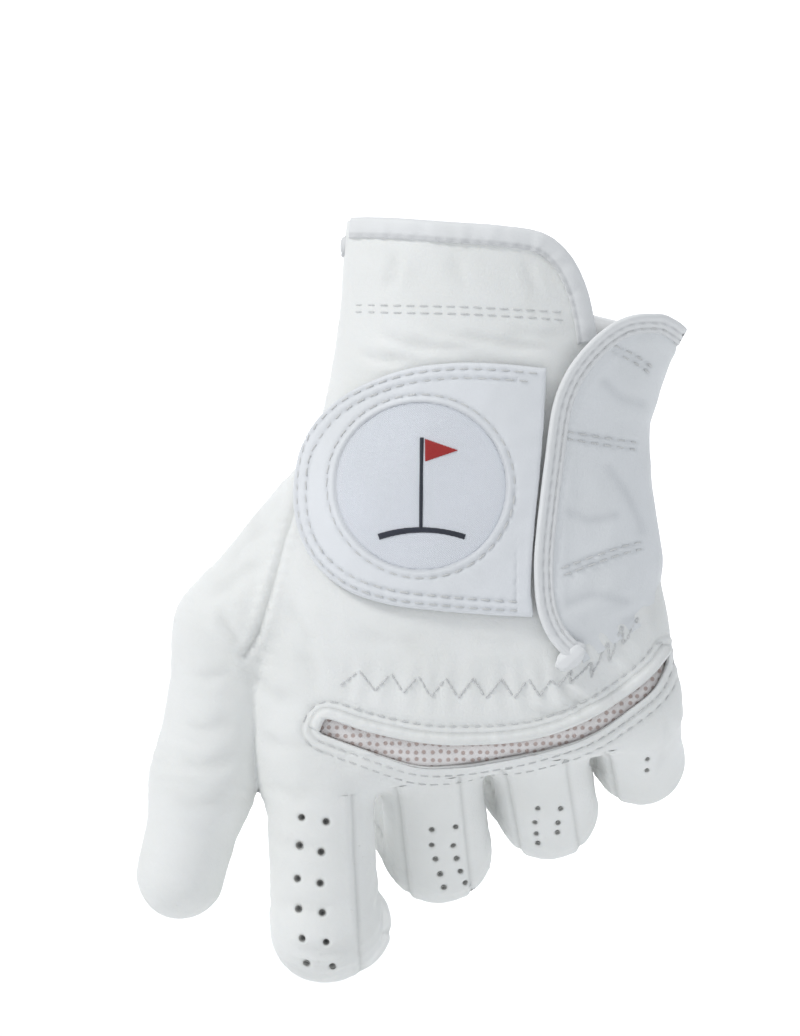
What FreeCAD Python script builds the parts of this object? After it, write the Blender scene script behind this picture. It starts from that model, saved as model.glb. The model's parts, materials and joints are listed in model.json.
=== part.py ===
# Golf glove for the left hand, shaped as worn and closed round a club handle.
# Millimetres. +Z runs up out of the wrist opening, -Y is the back of the hand, -X is the thumb side.
# The leather is a hollow shell. Layers that lie on the back of the hand are slices between two
# offsets of one lofted hand form, each cut to its own outline.
import FreeCAD, Part
import os, math
from FreeCAD import Vector as V, Placement, Rotation

os.makedirs("parts", exist_ok=True)
doc = FreeCAD.newDocument("golf_glove")
sheet = doc.addObject("Spreadsheet::Sheet", "dims")
ROW = [0]
VAL = {}


def cell(alias, value):
    ROW[0] += 1
    sheet.set("A%d" % ROW[0], alias)
    sheet.set("B%d" % ROW[0], "%.4f" % value)
    sheet.setAlias("B%d" % ROW[0], alias)
    VAL[alias] = round(float(value), 4)


def fetch(alias):
    return VAL[alias]


# ---------------------------------------------------------------- driving dimensions
cell("wall", 1.0)            # leather thickness of the glove shell
cell("stallwall", 0.9)       # leather thickness of the finger stalls
cell("seamgap", 0.15)        # gap left between neighbouring leather pieces
# hand form sections: height, centre X, centre Y, half width, half thickness
SECTIONS = [("sa", 6.0, 5.5, 0.0, 29.8, 19.5), ("sb", -18.0, 3.6, 0.0, 29.9, 19.4), ("sc", -38.0, 2.0, 0.0, 31.6, 18.8),
            ("sd", -60.0, 0.4, 0.0, 35.6, 17.4), ("se", -84.0, -1.6, 0.0, 42.2, 15.6), ("sf", -100.0, -0.8, 0.4, 42.4, 14.2),
            ("sg", -110.0, -2.0, 2.2, 40.6, 12.6), ("sh", -119.0, -5.0, 5.5, 36.5, 9.5)]
for n, z, cx, cy, a, b in SECTIONS:
    cell(n + "z", z); cell(n + "x", cx); cell(n + "y", cy); cell(n + "a", a); cell(n + "b", b)
# layer offsets from the outer leather surface of the hand form
LAYERS = {"panelin": -1.0, "panelout": 0.0, "facingin": -1.75, "facingout": -1.15, "loopin": 0.05, "loopout": 0.6,
          "rootin": 0.35, "rootout": 0.7, "hookin": 0.95, "hookout": 1.5, "liningin": 1.55, "liningout": 2.0, "tabin": 2.05, "tabout": 3.0,
          "discin": 2.05, "discout": 2.75, "emblemout": 3.1, "flapin": 1.1, "flapout": 2.1, "bindin": 0.75,
          "bindout": 3.4, "cuffin": -1.7, "cuffout": 0.95, "meshin": -1.95, "meshout": -1.6, "threadout": 0.3, "tabthread": 3.25, "lipout": 0.9,
          "flapthread": 2.4}
for k, v in LAYERS.items():
    cell(k, v)

# finger chain: knuckle M, middle joint P, end joint D, tip T, and the radii there
FINGERS = {
    "index": ((-30.6, 1.0, -101.0), (-28.8, 2.0, -139.2), (-25.8, 25.5, -141.2), (-32.4, 43.0, -133.5), 10.6, 10.8, 9.6, 8.6),
    "middle": ((-8.6, -0.5, -101.0), (-6.0, 27.0, -125.8), (-16.2, 49.0, -114.8), (-30.4, 45.0, -99.6), 10.4, 10.6, 9.6, 8.6),
    "ring": ((12.6, -0.5, -98.0), (16.6, 27.5, -117.4), (6.0, 49.0, -104.6), (-8.8, 46.0, -88.2), 10.2, 10.0, 9.2, 8.3),
    "little": ((32.4, 0.0, -93.0), (35.6, 25.0, -107.2), (27.4, 42.5, -98.2), (14.6, 46.5, -84.4), 9.2, 8.8, 8.2, 7.5),
}
THUMB = ((-30.0, 9.0, -58.5), (-47.0, 6.0, -80.0), (-53.6, 5.0, -110.0), (-58.2, 4.6, -129.0), 11.7, 11.6, 9.9, 8.8)
PARTS = {}
for n, f in FINGERS.items():
    for tag, p in zip("mpdt", f[:4]):
        for ax, c in zip("xyz", p):
            cell(n + tag + ax, c)
    for tag, r in zip(("ra", "rb", "rc", "rd"), f[4:]):
        cell(n + tag, r)
for tag, p in zip("mpdt", THUMB[:4]):
    for ax, c in zip("xyz", p):
        cell("thumb" + tag + ax, c)
for tag, r in zip(("ra", "rb", "rc", "rd"), THUMB[4:]):
    cell("thumb" + tag, r)
doc.recompute()


# ---------------------------------------------------------------- helpers
def new(kind, name):
    return doc.addObject(kind, name)


LOFTS = {}


def hand_loft(layer):
    """Solid hand form at a layer's offset from the leather's outer surface."""
    if layer in LOFTS:
        return LOFTS[layer]
    rings = []
    for n, z, cx, cy, a, b in SECTIONS:
        e = new("Part::Ellipse", "ring_%s_%s" % (n, layer))
        e.setExpression("MajorRadius", "dims.%sa + dims.%s" % (n, layer))
        e.setExpression("MinorRadius", "dims.%sb + dims.%s" % (n, layer))
        e.setExpression("Placement.Base.x", "dims.%sx" % n)
        e.setExpression("Placement.Base.y", "dims.%sy" % n)
        e.setExpression("Placement.Base.z", "dims.%sz" % n)
        rings.append(e)
    l = new("Part::Loft", "hand_form_" + layer)
    l.Sections = rings
    l.Solid = True
    l.Ruled = False
    LOFTS[layer] = l
    return l


def cut(a, b, name):
    o = new("Part::Cut", name); o.Base = a; o.Tool = b
    return o


def common(a, b, name):
    o = new("Part::Common", name); o.Base = a; o.Tool = b
    return o


def fuse(items, name):
    if len(items) == 1:
        return items[0]
    o = new("Part::MultiFuse", name); o.Shapes = items
    return o


def run(points, y0=-45.0):
    """Smooth edge through points of the X-Z plane."""
    pts = [V(x, y0, z) for x, z in points]
    if len(pts) == 2:
        return Part.LineSegment(pts[0], pts[1]).toShape()
    c = Part.BSplineCurve()
    c.interpolate(pts)
    return c.toShape()


def loop_of(runs, y0=-45.0):
    """Closed wire from smooth runs; straight edges close the gaps between them."""
    edges = []
    for i, r in enumerate(runs):
        edges.append(run(r, y0))
        nxt = runs[(i + 1) % len(runs)]
        if math.hypot(nxt[0][0] - r[-1][0], nxt[0][1] - r[-1][1]) > 1e-4:
            edges.append(run([r[-1], nxt[0]], y0))
    return Part.Wire(edges)


def smooth(points, closed=True):
    """Part::Feature wire through outline points in the X-Z plane, well behind the dorsal side."""
    pts = [V(x, -45, z) for x, z in points]
    c = Part.BSplineCurve()
    c.interpolate(pts, PeriodicFlag=closed)
    return Part.Wire([c.toShape()])


def prism(points, name, curved=False, y0=-45.0, depth=45.0):
    """Outline in the X-Z plane, extruded towards the palm."""
    if curved == "runs":
        w = loop_of(points, y0)
    elif curved:
        w = smooth(points)
    else:
        pts = [V(x, y0, z) for x, z in points]
        w = Part.makePolygon(pts + [pts[0]])
    f = new("Part::Feature", name + "_outline")
    f.Shape = w
    e = new("Part::Extrusion", name + "_prism")
    e.Base = f
    e.Dir = V(0, 1, 0)
    e.DirMode = "Custom"
    e.LengthFwd = depth
    e.Solid = True
    return e


def slab(inner, outer, name):
    return cut(hand_loft(outer), hand_loft(inner), name + "_slab")


def layer_piece(inner, outer, outline, name, curved=False, depth=45.0, minus=()):
    body = common(slab(inner, outer, name), prism(outline, name, curved, depth=depth), name + "_raw")
    for i, m in enumerate(minus):
        body = cut(body, m, "%s_less%d" % (name, i))
    return keep(body, name)


def keep(obj, name):
    obj.Label = name
    PARTS[name] = obj
    return obj


def rot_to(d):
    return Rotation(V(0, 0, 1), d)


def cone(p, q, r1, r2, name, grow=0.0, ext0=0.0, ext1=0.0, r1cell=None, r2cell=None):
    """Part::Cone from p to q. Its radii come from cells, less a wall where grow is below zero."""
    d = (q - p)
    L = d.Length
    u = d * (1.0 / L)
    sl = (r2 - r1) / L
    o = new("Part::Cone", name)
    if abs(sl) < 1e-6:
        r2 = r1 + 0.002
        sl = (r2 - r1) / L
    o.Radius1 = r1 + grow - sl * ext0
    o.Radius2 = r2 + grow + sl * ext1
    if r1cell and not ext0:
        o.setExpression("Radius1", "dims.%s + %.4f" % (r1cell, grow))
    if r2cell and not ext1:
        o.setExpression("Radius2", "dims.%s + %.4f" % (r2cell, grow))
    o.Height = L + ext0 + ext1
    o.Placement = Placement(p - u * ext0, rot_to(u))
    return o


def ball(p, r, name):
    o = new("Part::Sphere", name)
    o.Radius = r
    o.Placement = Placement(p, Rotation())
    return o


def half_box(p, n, name, size=90.0):
    """Box that fills the side of the plane through p that n points to."""
    o = new("Part::Box", name)
    o.Length = size; o.Width = size; o.Height = size
    r = rot_to(n)
    o.Placement = Placement(p - r.multVec(V(size / 2, size / 2, 0)), r)
    return o


w = fetch("stallwall")
GAP = fetch("seamgap")
HAND0 = hand_loft("panelout")
HAND_IN = hand_loft("panelin")
cell("clearout", 0.15)
# bottom end, sloped as the knuckles are, with a wall across it between the fingers
slope = V(0.167, 0, -1).normalize()
HAND_END = cut(HAND0, half_box(V(-30, 0, -114.0), slope, "end_a", 120.0), "hand_outer_end")
HAND_IN_END = cut(HAND_IN, half_box(V(-30, 0, -113.0), slope, "end_b", 120.0), "hand_inner_end")
HAND_CLEAR = cut(hand_loft("clearout"), half_box(V(-30, 0, -114.15), slope, "end_c", 120.0), "hand_clear_end")

# ---------------------------------------------------------------- finger stalls
stall_outer = {}
for n, f in FINGERS.items():
    M, P, D, T = [V(fetch(n + t + "x"), fetch(n + t + "y"), fetch(n + t + "z")) for t in "mpdt"]
    ra, rb, rc, rd = [fetch(n + t) for t in ("ra", "rb", "rc", "rd")]
    u1 = (P - M).normalize(); u2 = (D - P).normalize(); u3 = (T - D).normalize()
    L1 = (P - M).Length; L2 = (D - P).Length
    off0 = rb + 0.45
    off1 = rb + 0.45
    A = P - u1 * off0
    B = P + u2 * off1
    rA = ra + (rb - ra) * (1 - off0 / L1)
    rB = rb + (rc - rb) * (off1 / L2)
    side = u2.cross(u3).normalize()
    # base stall, from the knuckle to just before the middle joint
    outer = cone(M, A, ra, rA, n + "_base_out")
    inner = cone(M, A, ra, rA, n + "_base_in", grow=-w, ext0=2, ext1=2)
    stall_outer[n] = cone(M, A, ra, rA, n + "_base_hole", grow=GAP, ext0=0, ext1=2)
    base = cut(cut(outer, inner, n + "_base_tube"), HAND_CLEAR, n + "_base_trim")
    # tip stall, from just after the middle joint round the end joint to the rounded tip
    to = fuse([cone(B, D, rB, rc, n + "_mid_out"), ball(D, rc, n + "_end_out"), cone(D, T, rc, rd, n + "_tip_out"), ball(T, rd, n + "_cap_out")], n + "_tip_outer")
    ti = fuse([cone(B, D, rB, rc, n + "_mid_in", grow=-w, ext0=2), ball(D, rc - w, n + "_end_in"), cone(D, T, rc, rd, n + "_tip_in", grow=-w), ball(T, rd - w, n + "_cap_in")], n + "_tip_inner")
    tip = cut(to, ti, n + "_tip_tube")
    # folded leather round the middle joint
    fo = fuse([cone(A + u1 * 0.1, P, rA, rb, n + "_fold_a"), ball(P, rb + 0.06, n + "_fold_b"), cone(P, B - u2 * 0.1, rb, rB, n + "_fold_c")], n + "_fold_outer")
    fi = fuse([cone(A, P, rA, rb, n + "_fold_d", grow=-w, ext0=2), ball(P, rb - w + 0.04, n + "_fold_e"), cone(P, B, rb, rB, n + "_fold_f", grow=-w, ext1=2)], n + "_fold_inner")
    keep(cut(fo, fi, n + "_knuckle_fold"), n + "_knuckle_fold")
    # side strips between the fingers, cut from the stalls across the finger
    e1 = V(1, 0, 0) - u1 * u1.x
    e1.normalize()
    sides = {"index": [1], "middle": [-1, 1], "ring": [-1, 1], "little": [-1]}[n]
    for s in sides:
        k = 0.60 * ra
        bx = half_box(M + e1 * (s * k), e1 * s, n + "_side_box%d" % s)
        bx2 = half_box(M + e1 * (s * (k - GAP)), e1 * s, n + "_side_gap%d" % s)
        PARTS[n + "_side%d" % s] = common(base, bx, n + "_side%d" % s)
        base = cut(base, bx2, n + "_base_less%d" % s)
    keep(base, n + "_stall")
    # the same strips carry on along the tip, across the plane that the finger curls in
    lat = side if side.x > 0 else side * -1
    for s in sides:
        k = 0.60 * rc
        bx = half_box(D + lat * (s * k), lat * s, n + "_tipside_box%d" % s)
        bx2 = half_box(D + lat * (s * (k - GAP)), lat * s, n + "_tipside_gap%d" % s)
        PARTS[n + "_tipside%d" % s] = common(tip, bx, n + "_tipside%d" % s)
        tip = cut(tip, bx2, n + "_tip_less%d" % s)
    keep(tip, n + "_tip_stall")

for a, b in (("index", "middle"), ("middle", "ring"), ("ring", "little")):
    pair = new("Part::Compound", "%s_%s_fourchette" % (a, b))
    pair.Links = [PARTS.pop(a + "_side1"), PARTS.pop(b + "_side-1")]
    keep(pair, "%s_%s_fourchette" % (a, b))
for n in FINGERS:
    links = [PARTS.pop(k) for k in [n + "_tipside-1", n + "_tipside1"] if k in PARTS]
    if len(links) > 1:
        c = new("Part::Compound", n + "_tip_fourchette")
        c.Links = links
    else:
        c = links[0]
    keep(c, n + "_tip_fourchette")

# ---------------------------------------------------------------- thumb, a set-in piece
M, P, D, T = [V(fetch("thumb" + t + "x"), fetch("thumb" + t + "y"), fetch("thumb" + t + "z")) for t in "mpdt"]
ra, rb, rc, rd = [fetch("thumb" + t) for t in ("ra", "rb", "rc", "rd")]
u2 = (D - P).normalize(); u3 = (T - D).normalize()
L2 = (D - P).Length
A = D - u2 * (rc + 0.1)
B = D + u3 * (rc + 0.1)
rA = rb + (rc - rb) * (1 - (rc + 0.1) / L2)
rB = rc + (rd - rc) * ((rc + 0.1) / (T - D).Length)
to = fuse([ball(M, ra, "thumb_a"), cone(M, P, ra, rb, "thumb_b"), ball(P, rb, "thumb_c"), cone(P, A, rb, rA, "thumb_d")], "thumb_outer")
ti = fuse([ball(M, ra - w, "thumb_e"), cone(M, P, ra, rb, "thumb_f", grow=-w), ball(P, rb - w, "thumb_g"), cone(P, A, rb, rA, "thumb_h", grow=-w, ext1=2)], "thumb_inner")
thumb_hole = fuse([ball(M, ra - w, "thumb_i"), cone(M, P, ra - w, rb - w, "thumb_j"), ball(P, rb - w, "thumb_k"), cone(A, D, rA, rc, "thumb_l", grow=0.3, ext0=3)], "thumb_hole")
keep(cut(cut(to, ti, "thumb_tube"), HAND_CLEAR, "thumb_stall"), "thumb_stall")
fo = fuse([cone(A + u2 * 0.1, D, rA, rc, "thumb_fold_a"), ball(D, rc, "thumb_fold_b"), cone(D, B - u3 * 0.1, rc, rB, "thumb_fold_c")], "thumb_fold_outer")
fi = fuse([cone(A, D, rA, rc, "thumb_fold_d", grow=-w, ext0=2), ball(D, rc - w, "thumb_fold_e"), cone(D, B, rc, rB, "thumb_fold_f", grow=-w, ext1=2)], "thumb_fold_inner")
keep(cut(fo, fi, "thumb_knuckle_fold"), "thumb_knuckle_fold")
to = fuse([cone(B, T, rB, rd, "thumb_tip_a"), ball(T, rd, "thumb_tip_b")], "thumb_tip_outer")
ti = fuse([cone(B, T, rB, rd, "thumb_tip_c", grow=-w, ext0=2), ball(T, rd - w, "thumb_tip_d")], "thumb_tip_inner")
keep(cut(to, ti, "thumb_tip_stall"), "thumb_tip_stall")

# ---------------------------------------------------------------- hand shell: palm panel and back panel
holes = fuse([stall_outer[n] for n in FINGERS] + [thumb_hole], "stall_holes")
shell = cut(cut(HAND_END, HAND_IN_END, "hand_walls"), holes, "hand_shell")
# wrist rim: high on the thumb side, lower on the little-finger side
rim = half_box(V(-24, 0, -1.5), V(0.30, 0, 1).normalize(), "rim_box", 120.0)
rim_in = rim
shell_end = shell
palm_half = half_box(V(0, 0.1, -50), V(0, 1, 0), "palm_half", 200.0)
palm = common(cut(shell_end, rim, "hand_shell_rim"), palm_half, "palm_panel")
keep(palm, "palm_panel")

# outlines on the back, X and Z
MESH = [(-30.2, -98.9), (-29.4, -97.2), (-27.4, -96.6), (-20.4, -98.6), (-12.4, -100.4), (-4.6, -101.2), (5.8, -101.0), (13.6, -99.8), (21.6, -97.0), (29.4, -92.6),
        (36.0, -87.4), (37.6, -86.6), (36.2, -90.6), (31.0, -95.4), (24.2, -100.0), (16.2, -103.0), (8.4, -104.8), (0.6, -106.2), (-6.8, -106.8), (-11.0, -106.4), (-15.0, -105.2),
        (-20.4, -103.2), (-25.6, -101.4), (-29.4, -100.2)]
BACK = [(-50, 2.6), (-30, 2.4), (-23.8, 2.0), (-14.0, 1.2), (-4.0, 0.2), (6.0, -0.6), (12.5, -1.6), (17.0, -4.2), (20.0, -8.2), (22.2, -13.0), (23.6, -18.5), (24.4, -24.0),
        (24.4, -78.0), (26.5, -84.0), (31.5, -82.0), (34.6, -76.0), (34.8, -60.0), (35.2, -45.0), (36.0, -30.0), (60, -24), (60, -122), (-50, -122)]
mesh_hole = prism(MESH, "mesh_window_tool", curved=True)
back = common(cut(shell_end, half_box(V(0, -0.1, -50), V(0, 1, 0), "palm_half_gap", 200.0), "hand_back_half"), prism(BACK, "back_panel"), "back_panel_raw")
back = cut(back, mesh_hole, "back_panel")
keep(back, "back_panel")

def grow(points, d):
    """Outline moved outwards by d, for borders that follow another outline."""
    out = []
    n = len(points)
    area = sum(points[i][0] * points[(i + 1) % n][1] - points[(i + 1) % n][0] * points[i][1] for i in range(n))
    s = 1.0 if area > 0 else -1.0
    for i in range(n):
        ax, az = points[i - 1]; bx, bz = points[(i + 1) % n]
        tx, tz = bx - ax, bz - az
        L = math.hypot(tx, tz)
        out.append((points[i][0] + s * tz / L * d, points[i][1] - s * tx / L * d))
    return out


def band(points, d0, d1):
    """Closed band that lies from d0 to d1 on the left of an open line."""
    a, b = [], []
    n = len(points)
    for i in range(n):
        ax, az = points[max(i - 1, 0)]; bx, bz = points[min(i + 1, n - 1)]
        tx, tz = bx - ax, bz - az
        L = math.hypot(tx, tz)
        nx, nz = -tz / L, tx / L
        a.append((points[i][0] + nx * d0, points[i][1] + nz * d0))
        b.append((points[i][0] + nx * d1, points[i][1] + nz * d1))
    return a + b[::-1]


def band_runs(points, d0, d1):
    """The same band with smooth sides, as two runs."""
    both = band(points, d0, d1)
    n = len(points)
    return [both[:n], both[n:]]


# breathable mesh set under the window, and the turned leather lip above it
layer_piece("meshin", "meshout", grow(MESH, 2.2), "knuckle_mesh", curved=True, minus=[PARTS["back_panel"]])
LIP = [(-32.5, -96.3), (-27.6, -94.4), (-20.0, -96.2), (-12.2, -98.0), (-4.6, -98.8), (5.6, -98.6), (13.0, -97.4), (20.6, -94.8), (28.2, -90.6), (34.8, -85.6)]
layer_piece("loopin", "lipout", band_runs(LIP, -2.1, 0.0), "window_lip", curved="runs")

# elastic gathered under the zigzag row, and the strips inside the cuff
ZIG = [(-26.0, -88.9), (-16.0, -89.9), (-4.0, -90.8), (8.0, -90.8), (15.0, -90.2), (20.0, -87.6), (25.0, -83.2), (29.6, -78.2), (33.0, -73.0)]
layer_piece("facingin", "facingout", band_runs(ZIG, -3.2, 3.2), "knuckle_elastic", curved="runs")
CUFFLINE = [(-24.0, -16.0), (-2.0, -16.9), (20.4, -18.0)]
layer_piece("facingin", "facingout", [(-23.2, -1.5), (-14, -2.0), (-4.0, -2.8), (6.0, -3.6), (12.0, -5.0), (15.5, -8.0), (17.8, -12.0), (19.6, -19.4), (-2.0, -18.6), (-23.8, -17.6)], "cuff_facing")
palm_strip = common(slab("facingin", "facingout", "wrist_elastic"), prism([(-26, -33.0), (30, -33.0), (30, -40.0), (-26, -40.0)], "wrist_elastic", y0=0.0), "wrist_elastic_raw")
keep(palm_strip, "wrist_elastic")

# hook-and-loop closure: loop field on the back panel
LOOP = [(-26.0, -40.0), (-22.0, -35.5), (8.0, -35.5), (8.0, -68.0), (-20.0, -68.0), (-26.0, -62.0)]
layer_piece("loopin", "loopout", LOOP, "loop_patch")
HOOK = [(-24.0, -41.0), (-20.5, -37.0), (-2.0, -37.0), (-2.0, -66.5), (-19.0, -66.5), (-24.0, -61.0)]
layer_piece("hookin", "hookout", HOOK, "hook_patch")
TAB = [(13.4, -28.2), (6.0, -27.2), (-4.0, -27.0), (-14.0, -28.4), (-23.6, -32.4), (-30.0, -38.6), (-33.2, -45.6), (-34.3, -53.0), (-33.2, -60.8), (-29.6, -67.0), (-24.0, -71.2),
       (-16.0, -74.0), (-6.0, -75.4), (4.0, -76.1), (10.6, -76.4)]
TAB_RIGHT = [(10.6, -76.4), (10.7, -62.0), (11.6, -48.0), (12.6, -36.0), (13.4, -28.2)]
badge_c = (-9.7, -51.0)
badge_r = 16.4


def disc(r, name, c=None):
    c = c or badge_c
    o = new("Part::Cylinder", name)
    o.Radius = r; o.Height = 60
    o.Placement = Placement(V(c[0], -60, c[1]), Rotation(V(0, 0, 1), V(0, 1, 0)))
    return o


cell("badger", badge_r)
tool = disc(badge_r, "badge_window_tool")
tool.setExpression("Radius", "dims.badger")
SMALL = grow(TAB + TAB_RIGHT[1:-1], -0.5)
layer_piece("liningin", "liningout", [SMALL[:len(TAB)], SMALL[len(TAB):]], "tab_lining", curved="runs")
layer_piece("tabin", "tabout", [TAB, TAB_RIGHT], "closure_tab", curved="runs", minus=[tool])
d1 = disc(badge_r - 0.15, "badge_disc_tool")
keep(common(slab("discin", "discout", "badge"), d1, "badge_disc"), "badge_disc")
# generic raised motif: a pennant on a pole over a ground line
POLE = [(-10.2, -60.0), (-9.2, -60.0), (-9.2, -43.0), (-10.2, -43.0)]
FLAG = [(-9.1, -43.2), (-1.4, -46.0), (-9.1, -48.8)]
GROUND = [(-17.6, -60.2), (-13.0, -59.2), (-9.0, -59.0), (-4.0, -59.4), (-0.6, -60.4), (-0.8, -61.4), (-4.0, -60.5), (-9.0, -60.15), (-13.0, -60.3), (-17.4, -61.3)]
cell("motifin", 2.8)
pole = common(slab("motifin", "emblemout", "motif_a"), prism(POLE, "motif_a"), "motif_pole")
ground = common(slab("motifin", "emblemout", "motif_b"), prism(GROUND, "motif_b"), "motif_ground_raw")
ground = cut(ground, prism(POLE, "motif_c"), "motif_ground")
stitched = new("Part::Compound", "badge_motif"); stitched.Links = [pole, ground]
keep(stitched, "badge_motif")
layer_piece("motifin", "emblemout", FLAG, "badge_pennant")

# ---------------------------------------------------------------- flap on the little-finger side of the wrist slit
cell("flaretop", 6.5)
FLAPL = {}


def flap_loft(layer):
    """Hand form whose little-finger side turns outwards above the wrist, for the flared flap."""
    if layer in FLAPL:
        return FLAPL[layer]
    rings = []
    for i, (n, z, cx, cy, a, b) in enumerate(SECTIONS[:6]):
        dz = {0: 0.0, 1: 0.0, 2: 0.0}.get(i, 0.0)
        e = new("Part::Ellipse", "flare_%s_%s" % (n, layer))
        extra = {0: 16.0, 1: 8.0, 2: 0.6}.get(i, 0.0)
        e.setExpression("MajorRadius", "dims.%sa + dims.%s + %.3f" % (n, layer, extra / 2))
        e.setExpression("MinorRadius", "dims.%sb + dims.%s + %.3f" % (n, layer, extra / 8))
        e.setExpression("Placement.Base.x", "dims.%sx + %.3f" % (n, extra / 2))
        e.setExpression("Placement.Base.y", "dims.%sy" % n)
        e.setExpression("Placement.Base.z", "dims.%sz" % n)
        rings.append(e)
    l = new("Part::Loft", "flap_form_" + layer)
    l.Sections = rings
    l.Solid = True
    FLAPL[layer] = l
    return l


EDGE = [(43.6, -20.6), (40.0, -18.4), (37.0, -17.4), (31.0, -17.8), (26.0, -20.4), (21.4, -24.8), (18.0, -29.8), (15.8, -36.0), (14.4, -46.0), (13.3, -55.0), (12.5, -63.0), (12.4, -69.0), (13.0, -75.0), (15.0, -80.2), (18.2, -84.0), (21.0, -85.4)]
FLAPEDGE = band(EDGE, 0, 3.75)[len(EDGE):][::-1][1:-2]
FLAP = [FLAPEDGE, [(25.5, -79.2), (28.0, -76.0), (31.4, -70.0), (33.2, -60.0), (33.8, -45.0), (35.9, -33.0), (39.0, -26.0)]]


def flap_piece(inner, outer, outline, name, minus=()):
    s = cut(flap_loft(outer), flap_loft(inner), name + "_slab")
    b = common(s, prism(outline, name, curved="runs", depth=45.0), name + "_raw")
    for i, m in enumerate(minus):
        b = cut(b, m, "%s_less%d" % (name, i))
    return keep(b, name)


edge_band = band_runs(EDGE, -0.2, 3.6)     # reaches inwards from the edge
flap_piece("flapin", "flapout", FLAP, "wrist_flap")
flap_piece("bindin", "bindout", edge_band, "slit_binding")
ROOT = [(12.9, -40.0), (28.5, -42.0), (29.5, -61.5), (26.0, -64.0), (11.4, -68.0)]
root_raw = common(cut(flap_loft("rootout"), flap_loft("rootin"), "tab_root_slab"), prism(ROOT, "tab_root"), "tab_root_raw")
keep(root_raw, "tab_root")

# cuff binding on the thumb-side edge of the opening
CUFF = [(-30.0, 2.2), (-23.8, 2.0), (-14.0, 1.2), (-4.0, 0.2), (6.0, -0.6), (12.5, -1.6), (17.0, -4.2), (20.0, -8.2), (22.2, -13.0), (23.6, -18.5), (24.2, -23.0)]
# the palm side of the cuff carries on from it
cuff_outer = common(cut(hand_loft("cuffout"), hand_loft("loopin"), "cuff_outer_slab"), prism(band(CUFF, -3.8, 0.5), "cuff_outer"), "cuff_outer_strip")
cuff_rim = common(cut(hand_loft("cuffout"), hand_loft("panelin"), "cuff_rim_slab"), prism(band(CUFF, 0.06, 0.5), "cuff_rim"), "cuff_rim_strip")
keep(fuse([cuff_outer, cuff_rim], "cuff_binding_fused"), "cuff_binding")

def rim_strip(top, low):
    """Slanted strip under the palm side of the opening."""
    return [(-40.0, 4.8 + top), (52.0, -22.8 + top), (52.0, -22.8 + low), (-40.0, 4.8 + low)]


strip = common(cut(hand_loft("cuffout"), hand_loft("loopin"), "palm_binding_slab"), prism(rim_strip(-1.0, -5.0), "palm_strip", y0=0.1), "palm_binding_a")
top = common(cut(hand_loft("cuffout"), hand_loft("panelin"), "palm_rim_slab"), prism(rim_strip(-1.0, -1.46), "palm_rim", y0=0.1), "palm_binding_b")
ring = fuse([strip, top], "palm_binding_fused")
keep(ring, "palm_binding")

# ---------------------------------------------------------------- seam threads, ribbons that lie on the leather
def open_line_band(pts, half):
    return band(pts, -half, half)


def thread(name, inner, outer, outlines, loft=None):
    fn = loft or hand_loft
    s = cut(fn(outer), fn(inner), name + "_slab")
    items = []
    for i, o in enumerate(outlines):
        if isinstance(o, tuple):
            ext = prism(o[0], "%s_o%d" % (name, i)); inn = prism(o[1], "%s_i%d" % (name, i))
            items.append(cut(common(s, ext, "%s_c%d" % (name, i)), inn, "%s_d%d" % (name, i)))
        else:
            items.append(common(s, prism(o, "%s_o%d" % (name, i), curved="runs"), "%s_c%d" % (name, i)))
    c = new("Part::Compound", name)
    c.Links = items
    keep(c, name)


cell("threadin", 0.03)
cell("tabthreadin", 3.03)
cell("flapthreadin", 2.13)
thread("tab_thread", "tabthreadin", "tabthread", [band_runs(TAB, k, k + 0.45) for k in (1.3, 3.0)])
circ = [(badge_c[0] + 17.7 * math.cos(t * math.pi / 18), badge_c[1] + 17.7 * math.sin(t * math.pi / 18)) for t in range(36)]
thread("badge_thread", "tabthreadin", "tabthread", [(grow(circ, 0.25), grow(circ, -0.2))])
thread("cuff_thread", "threadin", "threadout", [band_runs([(-23.0, -15.2), (-2.0, -16.1), (17.6, -17.1)], -0.2, 0.2), band_runs([(-23.0, -16.6), (-2.0, -17.6), (17.4, -18.7)], -0.2, 0.2)])
thread("flap_thread", "flapthreadin", "flapthread", [band_runs([(18.9, -41.4), (25.0, -42.8), (32.6, -43.4)], -0.2, 0.2), band_runs([(18.8, -42.9), (25.0, -44.3), (32.6, -44.9)], -0.2, 0.2),
                                                     band_runs([(17.2, -66.6), (24.0, -64.9), (31.0, -62.6)], -0.2, 0.2), band_runs([(17.2, -68.2), (24.0, -66.6), (30.6, -64.4)], -0.2, 0.2)], loft=flap_loft)
ZZ = [(-25.8, -90.2), (-22.0, -87.2), (-19.0, -91.2), (-15.8, -87.8), (-13.4, -91.6), (-10.4, -88.2), (-8.0, -92.4), (-5.0, -88.6), (-2.6, -92.6), (0.4, -88.6), (2.8, -92.6), (6.0, -88.8), (8.4, -92.6), (11.2, -88.8), (13.4, -92.2)]
zz_up = [(x, z + 0.3) for x, z in ZZ]
zz_dn = [(x, z - 0.3) for x, z in ZZ]
zs = common(cut(hand_loft("threadout"), hand_loft("threadin"), "zigzag_slab"), prism(zz_up + zz_dn[::-1], "zigzag"), "zigzag_thread")
keep(zs, "zigzag_thread")

doc.recompute()

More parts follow.
